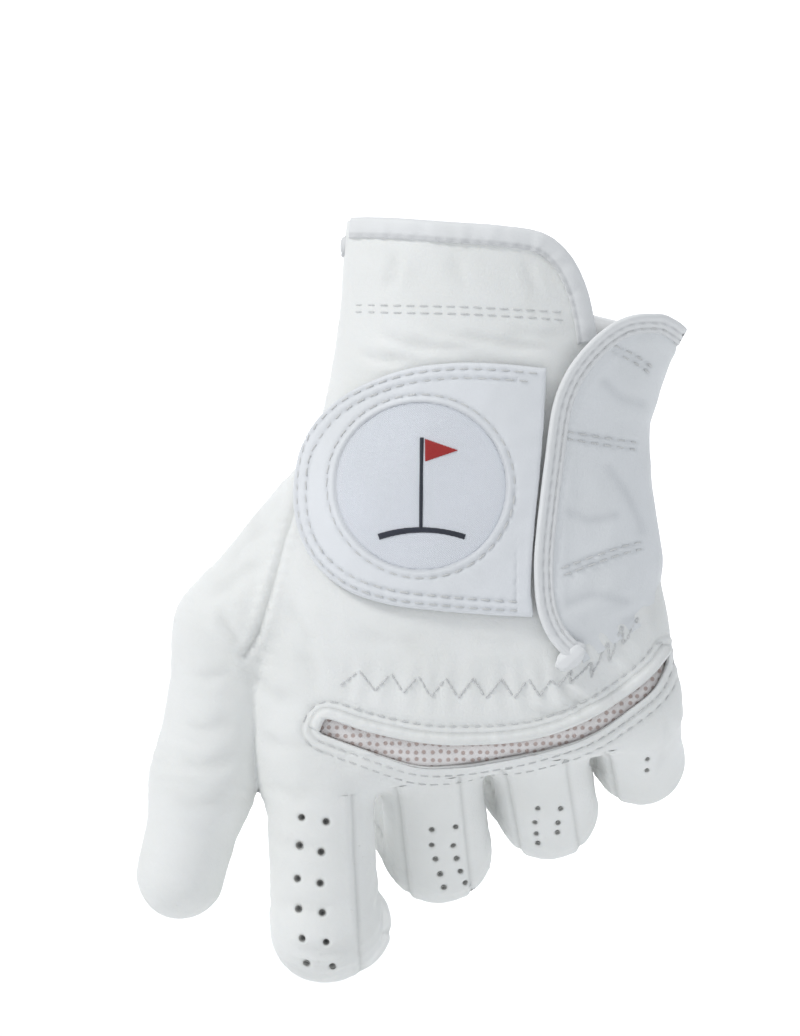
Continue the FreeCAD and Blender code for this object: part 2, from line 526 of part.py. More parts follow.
# ---------------------------------------------------------------- checks and export
bad = []
for o in doc.Objects:
    if any(s in ("Invalid", "Error") for s in o.State):
        bad.append((o.Name, o.State))
if bad:
    for b in bad:
        print("FAILED OBJECT", b)
    raise SystemExit("some objects failed")
for f in os.listdir("parts"):
    if f.endswith(".step"):
        os.remove(os.path.join("parts", f))
problems = []
for name, o in PARTS.items():
    s = o.Shape
    if s.isNull() or not s.isValid() or not s.Solids:
        problems.append((name, "null or invalid", s.isNull(), None if s.isNull() else s.isValid()))
        continue
    small = [x for x in s.Solids if x.Volume < 0.5]
    good = [x for x in s.Solids if x.Volume >= 0.5]
    out = Part.makeCompound(good) if len(good) != 1 else good[0]
    bb = out.BoundBox
    print("%-24s solids %d (dropped %d) vol %.1f  x %.1f..%.1f y %.1f..%.1f z %.1f..%.1f" % (name, len(good), len(small), sum(x.Volume for x in good), bb.XMin, bb.XMax, bb.YMin, bb.YMax, bb.ZMin, bb.ZMax))
    out.exportStep(os.path.join("parts", name + ".step"))
if problems:
    for p in problems:
        print("PROBLEM", p)
    raise SystemExit("some parts failed")
print("nodes", len(PARTS))
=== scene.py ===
import bpy, json, math
import numpy as np
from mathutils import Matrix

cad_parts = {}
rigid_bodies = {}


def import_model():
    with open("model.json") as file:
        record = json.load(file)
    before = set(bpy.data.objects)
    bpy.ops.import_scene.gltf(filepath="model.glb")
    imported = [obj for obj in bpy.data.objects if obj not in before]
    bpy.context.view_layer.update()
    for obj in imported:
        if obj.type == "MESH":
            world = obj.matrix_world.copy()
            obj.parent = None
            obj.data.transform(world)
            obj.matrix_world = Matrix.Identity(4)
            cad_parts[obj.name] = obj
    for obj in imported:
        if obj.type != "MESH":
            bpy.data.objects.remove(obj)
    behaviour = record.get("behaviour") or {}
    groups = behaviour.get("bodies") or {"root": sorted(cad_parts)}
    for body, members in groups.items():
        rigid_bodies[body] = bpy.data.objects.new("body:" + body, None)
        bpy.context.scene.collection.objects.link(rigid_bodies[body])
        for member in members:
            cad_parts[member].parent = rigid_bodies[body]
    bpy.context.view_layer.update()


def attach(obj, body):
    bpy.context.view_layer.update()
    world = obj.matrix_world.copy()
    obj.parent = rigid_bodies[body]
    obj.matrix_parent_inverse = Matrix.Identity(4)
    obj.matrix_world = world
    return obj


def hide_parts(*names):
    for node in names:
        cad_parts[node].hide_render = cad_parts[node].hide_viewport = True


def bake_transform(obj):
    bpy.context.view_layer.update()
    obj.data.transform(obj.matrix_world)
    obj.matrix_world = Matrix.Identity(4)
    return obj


for o in list(bpy.data.objects):
    bpy.data.objects.remove(o, do_unlink=True)
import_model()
F4 = np.float32
rng = np.random.default_rng(7)

# ------------------------------------------------------------------ forms, in millimetres
SEC = np.array([[6, 5.5, 0, 29.8, 19.5], [-18, 3.6, 0, 29.9, 19.4], [-38, 2, 0, 31.6, 18.8], [-60, .4, 0, 35.6, 17.4],
                [-84, -1.6, 0, 42.2, 15.6], [-100, -.8, .4, 42.4, 14.2], [-110, -2, 2.2, 40.6, 12.6], [-119, -5, 5.5, 36.5, 9.5]], float)[::-1]
FING = {"index": [(-30.6, 1, -101), (-28.8, 2, -139.2), (-25.8, 25.5, -141.2), (-32.4, 43, -133.5), (10.6, 10.8, 9.6, 8.6)],
        "middle": [(-8.6, -.5, -101), (-6, 27, -125.8), (-16.2, 49, -114.8), (-30.4, 45, -99.6), (10.4, 10.6, 9.6, 8.6)],
        "ring": [(12.6, -.5, -98), (16.6, 27.5, -117.4), (6, 49, -104.6), (-8.8, 46, -88.2), (10.2, 10, 9.2, 8.3)],
        "little": [(32.4, 0, -93), (35.6, 25, -107.2), (27.4, 42.5, -98.2), (14.6, 46.5, -84.4), (9.2, 8.8, 8.2, 7.5)],
        "thumb": [(-30, 9, -58.5), (-47, 6, -80), (-53.6, 5, -110), (-58.2, 4.6, -129), (11.7, 11.6, 9.9, 8.8)]}
NAMES = ["index", "middle", "ring", "little", "thumb"]


def hermite(z, k):
    """Section value k at heights z, smooth through the sections."""
    X, Y = SEC[:, 0], SEC[:, k]
    m = np.gradient(Y, X)
    z = np.clip(z, X[0], X[-1])
    i = np.clip(np.searchsorted(X, z) - 1, 0, len(X) - 2)
    h = X[i + 1] - X[i]
    t = (z - X[i]) / h
    return ((2 * t**3 - 3 * t**2 + 1) * Y[i] + (t**3 - 2 * t**2 + t) * h * m[i] + (-2 * t**3 + 3 * t**2) * Y[i + 1] + (t**3 - t**2) * h * m[i + 1])


def smin(a, b, k):
    h = np.clip(0.5 + 0.5 * (b - a) / k, 0, 1)
    return b + (a - b) * h - k * h * (1 - h)


def smax(a, b, k):
    return -smin(-a, -b, k)


SL = np.array([0.167, 0, -1.0]); SL /= np.linalg.norm(SL)


def hand_d(p, cap=True):
    x, y, z = p[..., 0], p[..., 1], p[..., 2]
    cx, cy, a, b = [hermite(z, k) for k in (1, 2, 3, 4)]
    u, v = x - cx, y - cy
    k0 = np.sqrt((u / a) ** 2 + (v / b) ** 2)
    k1 = np.sqrt((u / a**2) ** 2 + (v / b**2) ** 2) + 1e-9
    d = k0 * (k0 - 1) / k1
    if cap:
        e = (x + 30) * SL[0] + (z + 114.0) * SL[2]
        d = smax(d, e, 7.0)
    return d


def seg_d(p, a, b, ra, rb):
    a, b = np.array(a, float), np.array(b, float)
    ab = b - a
    t = np.clip(((p - a) @ ab) / (ab @ ab), 0, 1)
    return np.linalg.norm(p - a - t[..., None] * ab, axis=-1) - (ra + (rb - ra) * t)


def finger_d(p, n):
    c = FING[n]
    r = c[4]
    k = 1.6 if n != "thumb" else 5.0
    d = smin(seg_d(p, c[0], c[1], r[0], r[1]), seg_d(p, c[1], c[2], r[1], r[2]), k)
    return smin(d, seg_d(p, c[2], c[3], r[2], r[3]), k)


def fields(p):
    """Distance to the hand form, then to each finger blended into the hand."""
    h = hand_d(p)
    return h, [finger_d(p, n) for n in NAMES]


def body_d(p):
    h, fs = fields(p)
    d = h
    for n, f in zip(NAMES, fs):
        k = 3.2
        if n == "thumb":
            t = np.clip((p[..., 2] + 92) / 20, 0, 1)
            k = 0.9 + 8.0 * t * t * (3 - 2 * t)
        d = np.minimum(d, smin(h, f, k))
    return d


def grad(p, f=body_d, e=0.12):
    g = np.stack([f(p + np.array(v) * e) - f(p - np.array(v) * e) for v in ((1, 0, 0), (0, 1, 0), (0, 0, 1))], -1)
    return g / (np.linalg.norm(g, axis=-1, keepdims=True) + 1e-9)


def project(p, steps=4, level=0.0, f=body_d):
    for _ in range(steps):
        g = np.stack([f(p + np.array(v) * .1) - f(p - np.array(v) * .1) for v in ((1, 0, 0), (0, 1, 0), (0, 0, 1))], -1) / .2
        d = f(p) - level
        p = p - g * (d / np.maximum((g * g).sum(-1), .2))[..., None]
    return p


# ------------------------------------------------------------------ skin of the whole glove
def surface(step=0.75, lo=(-70, -24, -154), hi=(48, 62, 8)):
    ax = [np.arange(l, h, step) for l, h in zip(lo, hi)]
    n = [len(a) for a in ax]
    V = np.empty(n, F4)
    for i, x in enumerate(ax[0]):
        Y, Z = np.meshgrid(ax[1], ax[2], indexing="ij")
        V[i] = body_d(np.stack([np.full(Y.shape, x), Y, Z], -1))
    # the grid's top is left open, where the cuff is
    S = V < 0
    cell = np.zeros([m - 1 for m in n], np.int8)
    for dx in (0, 1):
        for dy in (0, 1):
            for dz in (0, 1):
                cell += S[dx:n[0] - 1 + dx, dy:n[1] - 1 + dy, dz:n[2] - 1 + dz]
    act = (cell > 0) & (cell < 8)
    idx = np.full(cell.shape, -1, np.int64)
    c = np.argwhere(act)
    idx[act] = np.arange(len(c))
    P = (c + 0.5) * step + np.array(lo)
    P = project(P, 6)
    faces = []
    for d in range(3):
        o = [(1, 2), (2, 0), (0, 1)][d]
        sl0 = [slice(1, n[k] - 1) for k in range(3)]
        sl0[d] = slice(0, n[d] - 1)
        sl1 = list(sl0)
        sl1[d] = slice(1, n[d])
        a, b = S[tuple(sl0)], S[tuple(sl1)]
        for flag, flip in ((a & ~b, False), (~a & b, True)):
            q = np.argwhere(flag)
            q = q + np.array([1 if k != d else 0 for k in range(3)])
            ids = []
            for s, t in ((0, 0), (1, 0), (1, 1), (0, 1)):
                r = q.copy()
                r[:, o[0]] -= s
                r[:, o[1]] -= t
                ids.append(idx[r[:, 0], r[:, 1], r[:, 2]])
            f = np.stack(ids, 1)
            faces.append(f[:, ::-1] if flip else f)
    Q = np.concatenate(faces)
    Q = Q[(Q >= 0).all(1)]
    return P, np.concatenate([Q[:, [0, 1, 2]], Q[:, [0, 2, 3]]])


def clip(P, T, phi):
    """The part of a triangle mesh where phi < 0, cut cleanly along phi = 0."""
    s = phi < 0
    k = s[T].sum(1)
    keep = T[k == 3]
    newP, newkeys = [], {}
    E = []
    out = [keep]
    part = T[(k == 1) | (k == 2)]
    if len(part):
        ks = s[part].sum(1)
        # rotate so that the odd vertex comes first
        odd = np.where(ks[:, None] == 1, s[part], ~s[part])
        r = odd.argmax(1)
        part = np.stack([part[np.arange(len(part)), (r + j) % 3] for j in range(3)], 1)
        e1 = np.sort(part[:, [0, 1]], 1)
        e2 = np.sort(part[:, [0, 2]], 1)
        allE = np.concatenate([e1, e2])
        key = allE[:, 0] * len(P) + allE[:, 1]
        u, inv = np.unique(key, return_inverse=True)
        ea, eb = u // len(P), u % len(P)
        t = phi[ea] / (phi[ea] - phi[eb])
        Pn = P[ea] + (P[eb] - P[ea]) * t[:, None]
        base = len(P)
        P = np.concatenate([P, Pn])
        i1 = base + inv[:len(part)]
        i2 = base + inv[len(part):]
        one = ks == 1
        out.append(np.stack([part[one, 0], i1[one], i2[one]], 1))
        two = ~one
        out.append(np.stack([i1[two], part[two, 1], part[two, 2]], 1))
        out.append(np.stack([i1[two], part[two, 2], i2[two]], 1))
    T = np.concatenate(out)
    T = T[(T[:, 0] != T[:, 1]) & (T[:, 1] != T[:, 2]) & (T[:, 0] != T[:, 2])]
    used, inv = np.unique(T, return_inverse=True)
    return P[used], inv.reshape(-1, 3)


def border(T):
    E = np.concatenate([T[:, [0, 1]], T[:, [1, 2]], T[:, [2, 0]]])
    key = np.sort(E, 1)
    u, inv, cnt = np.unique(key[:, 0] * (T.max() + 1) + key[:, 1], return_inverse=True, return_counts=True)
    return E[cnt[inv] == 1]


def thicken(P, T, N, inner, outer=0.0):
    """Closed wall: outer skin, inner skin and the edge between them."""
    n = len(P)
    B = border(T)
    A = np.concatenate([P + N * np.reshape(outer, (-1, 1)), P - N * np.reshape(inner, (-1, 1))])
    edge = np.concatenate([np.stack([B[:, 1], B[:, 0], B[:, 0] + n], 1), np.stack([B[:, 1], B[:, 0] + n, B[:, 1] + n], 1)])
    return A, np.concatenate([T, T[:, ::-1] + n, edge])


# ------------------------------------------------------------------ lines on the glove, seen from the back
def curve(points, n=16):
    """Smooth open line through points (Catmull-Rom), close-spaced."""
    p = np.array(points, float)
    q = np.concatenate([[2 * p[0] - p[1]], p, [2 * p[-1] - p[-2]]])
    out = []
    for i in range(1, len(q) - 2):
        t = np.linspace(0, 1, n, endpoint=False)[:, None]
        a, b, c, d = q[i - 1], q[i], q[i + 1], q[i + 2]
        out.append(0.5 * (2 * b + (c - a) * t + (2 * a - 5 * b + 4 * c - d) * t**2 + (3 * b - a - 3 * c + d) * t**3))
    out.append(p[-1:])
    return np.concatenate(out)


def resample(L, step):
    s = np.concatenate([[0], np.cumsum(np.linalg.norm(np.diff(L, axis=0), axis=1))])
    m = max(2, int(round(s[-1] / step)) + 1)
    t = np.linspace(0, s[-1], m)
    return np.stack([np.interp(t, s, L[:, k]) for k in range(L.shape[1])], 1)


def line_d(q, L, closed=False):
    """Distance from points q to a 2-D line, and the length along it, and side."""
    A = L
    B = np.roll(L, -1, 0) if closed else L[1:]
    A = A if closed else L[:-1]
    seg = np.linalg.norm(B - A, axis=1)
    s0 = np.concatenate([[0], np.cumsum(seg)[:-1]])
    best = np.full(len(q), 1e9)
    bs = np.zeros(len(q))
    side = np.zeros(len(q))
    for i in range(len(A)):
        if seg[i] < 1e-9:
            continue
        d = B[i] - A[i]
        t = np.clip(((q - A[i]) @ d) / seg[i] ** 2, 0, 1)
        r = q - A[i] - t[:, None] * d
        m = np.hypot(r[:, 0], r[:, 1])
        c = m < best
        best[c] = m[c]
        bs[c] = s0[i] + t[c] * seg[i]
        side[c] = np.sign(d[0] * r[c, 1] - d[1] * r[c, 0])
    return best, bs, side


def inside(q, L):
    x, y = q[:, 0], q[:, 1]
    ins = np.zeros(len(q), bool)
    A, B = L, np.roll(L, -1, 0)
    for a, b in zip(A, B):
        if a[1] == b[1]:
            continue
        c = (a[1] > y) != (b[1] > y)
        ins ^= c & (x < (b[0] - a[0]) * (y - a[1]) / (b[1] - a[1]) + a[0])
    return ins


def poly_d(q, L):
    """Signed distance to a closed outline, negative inside, and length along it."""
    d, s, _ = line_d(q, L, True)
    return np.where(inside(q, L), -d, d), s


def px(points):
    return [((x - 470) * .2, (232 - y) * .2) for x, y in points]


def waves(p, seed, f, n=14, stretch=(1, 1, 1)):
    r = np.random.default_rng(seed)
    k = r.normal(size=(n, 3))
    k /= np.linalg.norm(k, axis=1)[:, None]
    k *= f * 2 * np.pi * r.uniform(.6, 1.5, (n, 1)) * np.array(stretch)
    ph = r.uniform(0, 6.28, n)
    out = 0
    for i in range(n):
        out = out + np.cos(p @ k[i] + ph[i])
    return out / math.sqrt(n)


# ------------------------------------------------------------------ materials
def material(name, base, rough=0.5, dark=None, grain=0.0, grain_scale=900.0, fine=0.0, fine_scale=3500.0, weave=None, dots=None, sheen=0.0, coat=0.0, vary=0.03, sss=0.0):
    m = bpy.data.materials.new(name)
    m.use_nodes = True
    nt = m.node_tree
    N, L = nt.nodes, nt.links
    b = N["Principled BSDF"]
    b.inputs["Roughness"].default_value = rough
    b.inputs["Sheen Weight"].default_value = sheen
    b.inputs["Coat Weight"].default_value = coat
    b.inputs["Specular IOR Level"].default_value = 0.35
    if sss:
        b.inputs["Subsurface Weight"].default_value = sss
        b.inputs["Subsurface Radius"].default_value = (0.0012, 0.001, 0.0008)
        b.inputs["Subsurface Scale"].default_value = 1.0
    tc = N.new("ShaderNodeTexCoord")
    # colour: base, slow mottling, and painted shade: darker where the shade attribute says (grooves, needle holes)
    mot = N.new("ShaderNodeTexNoise"); mot.inputs["Scale"].default_value = 55.0; mot.inputs["Detail"].default_value = 5.0
    L.new(tc.outputs["Object"], mot.inputs["Vector"])
    r1 = N.new("ShaderNodeMapRange")
    r1.inputs["From Min"].default_value = 0.3; r1.inputs["From Max"].default_value = 0.7
    L.new(mot.outputs["Fac"], r1.inputs["Value"])
    mix = N.new("ShaderNodeMix"); mix.data_type = "RGBA"
    mix.inputs["A"].default_value = (*[c * (1 - vary) for c in base[:2]], base[2] * (1 - vary * 1.3), 1)
    mix.inputs["B"].default_value = (*[min(1, c * (1 + vary * .5)) for c in base], 1)
    L.new(r1.outputs["Result"], mix.inputs["Factor"])
    at = N.new("ShaderNodeAttribute"); at.attribute_name = "shade"
    mix2 = N.new("ShaderNodeMix"); mix2.data_type = "RGBA"
    # the darker colour is the painted shade colour, mixed in by the shade attribute
    mix2.inputs["B"].default_value = (*(dark or [c * .42 for c in base]), 1)
    L.new(at.outputs["Fac"], mix2.inputs["Factor"])
    L.new(mix.outputs["Result"], mix2.inputs["A"])
    col = mix2.outputs["Result"]
    bumps = []
    if grain:
        v = N.new("ShaderNodeTexVoronoi"); v.feature = "DISTANCE_TO_EDGE"; v.inputs["Scale"].default_value = grain_scale
        w = N.new("ShaderNodeTexNoise"); w.inputs["Scale"].default_value = grain_scale * .35; w.inputs["Detail"].default_value = 3
        L.new(tc.outputs["Object"], w.inputs["Vector"])
        ad = N.new("ShaderNodeVectorMath"); ad.operation = "MULTIPLY_ADD"
        ad.inputs[1].default_value = (.0016, .0016, .0016)
        L.new(w.outputs["Color"], ad.inputs[0]); L.new(tc.outputs["Object"], ad.inputs[2])
        L.new(ad.outputs[0], v.inputs["Vector"])
        c = N.new("ShaderNodeMapRange"); c.inputs["From Max"].default_value = 0.22
        L.new(v.outputs["Distance"], c.inputs["Value"])
        bumps.append((c.outputs["Result"], grain))
    if fine:
        w = N.new("ShaderNodeTexNoise"); w.inputs["Scale"].default_value = fine_scale; w.inputs["Detail"].default_value = 2
        L.new(tc.outputs["Object"], w.inputs["Vector"])
        bumps.append((w.outputs["Fac"], fine))
        w = N.new("ShaderNodeTexNoise"); w.inputs["Scale"].default_value = 260.0; w.inputs["Detail"].default_value = 6; w.inputs["Distortion"].default_value = .6
        L.new(tc.outputs["Object"], w.inputs["Vector"])
        bumps.append((w.outputs["Fac"], fine * 4))
    if weave:
        sc, hgt = weave
        for k, rot in enumerate((0.0, math.pi / 2)):
            mp = N.new("ShaderNodeMapping"); mp.inputs["Rotation"].default_value = (0, rot + .6, 0)
            L.new(tc.outputs["Object"], mp.inputs["Vector"])
            wv = N.new("ShaderNodeTexWave"); wv.inputs["Scale"].default_value = sc; wv.inputs["Distortion"].default_value = .6; wv.inputs["Detail Scale"].default_value = 3
            wv.bands_direction = "X"
            L.new(mp.outputs["Vector"], wv.inputs["Vector"])
            bumps.append((wv.outputs["Fac"], hgt))
    # dots: holes in the cloth coloured with the darker colour, painted shade in the holes tinted with what lies under
    # them
    if dots:
        sc, hole, hd = dots
        mp = N.new("ShaderNodeMapping"); mp.inputs["Rotation"].default_value = (math.pi / 2, 0, 0)
        L.new(tc.outputs["Object"], mp.inputs["Vector"])
        v = N.new("ShaderNodeTexVoronoi"); v.voronoi_dimensions = "2D"; v.inputs["Scale"].default_value = sc; v.inputs["Randomness"].default_value = .22
        L.new(mp.outputs["Vector"], v.inputs["Vector"])
        c = N.new("ShaderNodeMapRange"); c.inputs["From Min"].default_value = hole * .7; c.inputs["From Max"].default_value = hole * 1.25
        L.new(v.outputs["Distance"], c.inputs["Value"])
        m3 = N.new("ShaderNodeMix"); m3.data_type = "RGBA"
        m3.inputs["A"].default_value = (*(dark or [.3, .3, .3]), 1)
        L.new(c.outputs["Result"], m3.inputs["Factor"]); L.new(col, m3.inputs["B"])
        col = m3.outputs["Result"]
        bumps.append((c.outputs["Result"], hd))
    L.new(col, b.inputs["Base Color"])
    prev = None
    for s, d in bumps:
        bp = N.new("ShaderNodeBump"); bp.inputs["Strength"].default_value = 1.0; bp.inputs["Distance"].default_value = d
        L.new(s, bp.inputs["Height"])
        if prev is not None:
            L.new(prev, bp.inputs["Normal"])
        prev = bp.outputs["Normal"]
    if prev is not None:
        L.new(prev, b.inputs["Normal"])
    return m


WHITE = (0.875, 0.885, 0.875)
# where a second colour follows the roughness, it is that material's painted shade colour
M_LEATHER = material("cabretta_leather", WHITE, .52, (.42, .425, .41), grain=.00002, grain_scale=850, fine=.000012, sheen=.12, sss=.06)
M_TAB = material("tab_synthetic", (.82, .84, .87), .5, (.40, .42, .46), grain=.000012, grain_scale=1500, fine=.000008, sheen=.1)
M_FLAP = material("flap_leather", (.81, .83, .85), .48, (.40, .42, .45), grain=.000018, grain_scale=1000, fine=.000012, sheen=.1)
M_BIND = material("binding_tape", (.84, .85, .86), .6, (.42, .43, .45), weave=(900, .00001), fine=.00002, sheen=.2)
M_MESH = material("knuckle_mesh", (.90, .87, .865), .75, (.56, .45, .42), dots=(640, .27, .00010), weave=(700, .00002), sheen=.3)
M_ELAST = material("ribbed_elastic", (.78, .79, .79), .8, weave=(500, .00006), sheen=.3)
M_LINE = material("tricot_lining", (.76, .77, .78), .85, weave=(1100, .00003), fine=.00004, sheen=.4)
M_LOOP = material("loop_pile", (.78, .79, .80), .9, fine=.0002, fine_scale=1800, sheen=.5)
M_HOOK = material("hook_tape", (.8, .81, .82), .6, dots=(600, .3, .0002))
M_THREAD = material("polyester_thread", (.80, .81, .81), .55, (.3, .3, .3), weave=(2500, .00003), sheen=.3)
M_BADGE = material("badge_fabric", (.83, .86, .92), .6, (.42, .45, .51), weave=(1100, .00005), fine=.00001, sheen=.3)
M_DARK = material("satin_dark", (.035, .04, .06), .45, (.01, .01, .015), weave=(1800, .00004), sheen=.2, vary=.2)
M_RED = material("satin_red", (.50, .03, .03), .45, (.2, .01, .01), weave=(1800, .00004), sheen=.2, vary=.15)
# hole walls and floors: leather painted grey as shade, darker towards the floor through the shade attribute
M_PIT = material("hole_edge", (.62, .62, .60), .8, (.22, .22, .215), fine=.00002)


def mk(name, P, T, mat, shade=None, body="hand", replace=(), flat=False, rim=None):
    me = bpy.data.meshes.new(name)
    P = np.asarray(P, float) * .001
    me.vertices.add(len(P)); me.vertices.foreach_set("co", P.astype(F4).ravel())
    T = np.asarray(T, np.int32)
    k = T.shape[1]
    me.loops.add(T.size); me.loops.foreach_set("vertex_index", T.ravel())
    me.polygons.add(len(T)); me.polygons.foreach_set("loop_start", np.arange(0, T.size, k, dtype=np.int32))
    me.update(calc_edges=True)
    me.validate()
    if not flat:
        me.shade_smooth()
    a = me.attributes.new("shade", "FLOAT", "POINT")
    if shade is not None:
        a.data.foreach_set("value", np.clip(shade, 0, 1).astype(F4))
    if rim is not None and len(me.vertices) == len(P):
        vn = np.empty(len(P) * 3, F4)
        me.vertices.foreach_get("normal", vn)
        vn = vn.reshape(-1, 3)
        vn[rim[0]] = rim[1]
        me.normals_split_custom_set_from_vertices(vn.tolist())
    me.materials.append(mat)
    o = bpy.data.objects.new(name, me)
    bpy.context.scene.collection.objects.link(o)
    if isinstance(body, str):
        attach(o, body)
    else:
        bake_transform(o)
    if replace:
        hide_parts(*replace)
    return o


def ss(t):
    t = np.clip(t, 0, 1)
    return t * t * (3 - 2 * t)


def bump(d, w):
    return np.exp(-(d / w) ** 2)


# ------------------------------------------------------------------ lines of the pattern
XS = np.array([(-150, -43.5), (-135, -43.5), (-118, -42.2), (-105, -42.6), (-95, -43.8), (-84.8, -45), (-79.8, -42), (-71.4, -39.6), (-62.8, -37.6), (-57.6, -36), (-49.2, -34), (-38, -31.4), (-30.6, -30.6), (10, -30.6)], float)
THUMB_SEAM = curve([(-30.6, -30.6), (-31.4, -38), (-34, -49.2), (-36, -57.6), (-37.6, -62.8), (-39.6, -71.4), (-42, -79.8), (-45, -84.8)], 8)
MESHPOLY = curve(px([(319, 727), (324, 716), (333, 715), (368, 726), (408, 735), (447, 739), (499, 738), (538, 732), (578, 718), (617, 696), (651, 670), (668, 649)]), 6)
MESHLOW = curve(px([(666, 665), (651, 688), (625, 709), (591, 732), (551, 747), (512, 756), (473, 763), (436, 766), (415, 764), (395, 758), (368, 748), (342, 739), (319, 730)]), 6)
WINDOW = resample(np.concatenate([MESHPOLY, MESHLOW, MESHPOLY[:1]]), 1.2)[:-1]
TABRUN = px([(543, 372), (500, 368), (450, 367), (400, 374), (352, 394), (320, 422), (302, 457), (296, 497), (302, 536), (320, 567), (350, 590), (390, 603), (440, 609), (490, 613), (531, 615)])
TABEDGE = curve(TABRUN, 8)
TABPOLY = np.concatenate([TABEDGE, px([(528, 590), (529, 560), (532, 520), (536, 480), (540, 430)])])
TABFULL = resample(np.concatenate([TABPOLY, TABPOLY[:1]]), 1.0)[:-1]
EDGE = curve([(43.2, -19.6), (40, -18.0), (37, -17.2), (31, -17.8), (26, -20.4), (21.4, -24.8), (18, -29.8), (15.8, -36), (14.4, -46), (13.3, -55), (12.5, -63), (12.4, -69), (13, -75), (15, -80.2), (18.2, -84), (21, -85.4)], 8)
CUFFTOP = curve(px([(350.5, 221.5), (362, 222.5), (400, 226), (450, 231), (500, 235), (540, 242), (565, 262), (580, 290), (588, 320), (592, 345)]), 8)
ZIG = curve(px([(341, 678), (391, 682), (460, 686), (520, 685), (560, 675), (590, 660), (615, 640), (636, 620)]), 8)
ZZ = px([(341, 683), (360, 668), (375, 688), (391, 671), (403, 690), (418, 673), (430, 694), (445, 675), (457, 695), (472, 675), (484, 695), (500, 676), (512, 695), (526, 676), (537, 693), (548, 677), (556, 684), (569, 667), (567, 681), (590, 660), (588, 676), (605, 640), (607, 660), (619, 624), (621, 643), (636, 616), (634, 627)])
BC = np.array([(421.5 - 470) * .2, (232 - 487) * .2])

CREASES = [  # line in px, depth, width
    ([(372, 332), (405, 346), (440, 352), (485, 350)], .42, 1.5), ([(425, 334), (470, 342), (520, 350), (566, 352)], .45, 1.6),
    ([(492, 330), (530, 338), (570, 342)], .3, 1.3), ([(396, 250), (393, 275), (383, 300)], .25, 1.8), ([(452, 255), (458, 280), (470, 303)], .22, 2.0),
    ([(352, 350), (380, 362), (415, 362)], .35, 1.4), ([(520, 262), (528, 285), (540, 306)], .25, 1.8),
    ([(246, 654), (234, 632), (216, 608)], .55, 1.9), ([(270, 560), (238, 574), (204, 600)], .4, 2.2), ([(292, 470), (264, 502), (238, 548)], .35, 2.4),
    ([(318, 400), (300, 432), (285, 466)], .3, 2.2), ([(276, 520), (248, 540), (222, 575)], .3, 1.8), ([(184, 668), (208, 676), (238, 668)], .4, 2.0),
    ([(176, 716), (205, 727), (244, 716)], .32, 2.2), ([(172, 752), (204, 764), (246, 752)], .34, 2.0), ([(166, 790), (200, 803), (240, 793)], .26, 2.0),
    ([(250, 668), (272, 690), (300, 700)], .35, 2.2), ([(254, 728), (284, 742), (314, 744)], .35, 2.0), ([(258, 780), (290, 790), (330, 788)], .3, 2.4),
    ([(300, 640), (312, 668), (318, 700)], .3, 2.2), ([(286, 588), (300, 622), (322, 650)], .3, 2.4), ([(548, 664), (566, 690), (592, 704)], .5, 1.5),
    ([(560, 700), (590, 704), (622, 690)], .35, 1.6), ([(520, 700), (548, 712), (576, 706)], .3, 1.5), ([(640, 560), (650, 600), (656, 640)], .35, 2.0),
    ([(340, 626), (390, 638), (440, 640)], .22, 2.4), ([(460, 634), (500, 640), (530, 636)], .2, 2.2), ([(660, 700), (668, 740), (660, 790)], .35, 2.2),
    ([(262, 830), (296, 842), (340, 838)], .18, 2.4), ([(268, 890), (300, 902), (350, 900)], .22, 2.2), ([(284, 936), (312, 948), (372, 944)], .26, 2.0),
]
PERF = {"index": (.64, [(302.5, 814), (300, 842), (298, 875), (299, 905), (303, 934), (307, 960), (327, 818), (322, 848), (321, 879), (323, 908), (327, 937), (333, 962)]),
        "middle": (.52, [(432, 832), (432, 849), (436, 865), (441, 882), (445, 897), (456, 829), (454, 850), (458, 865), (462, 879), (467, 892)]),
        "ring": (.46, [(539, 812), (537, 828), (539, 841), (541, 852), (563, 813), (561, 829), (561, 840)]),
        "little": (.42, [(649, 761), (650, 774)])}


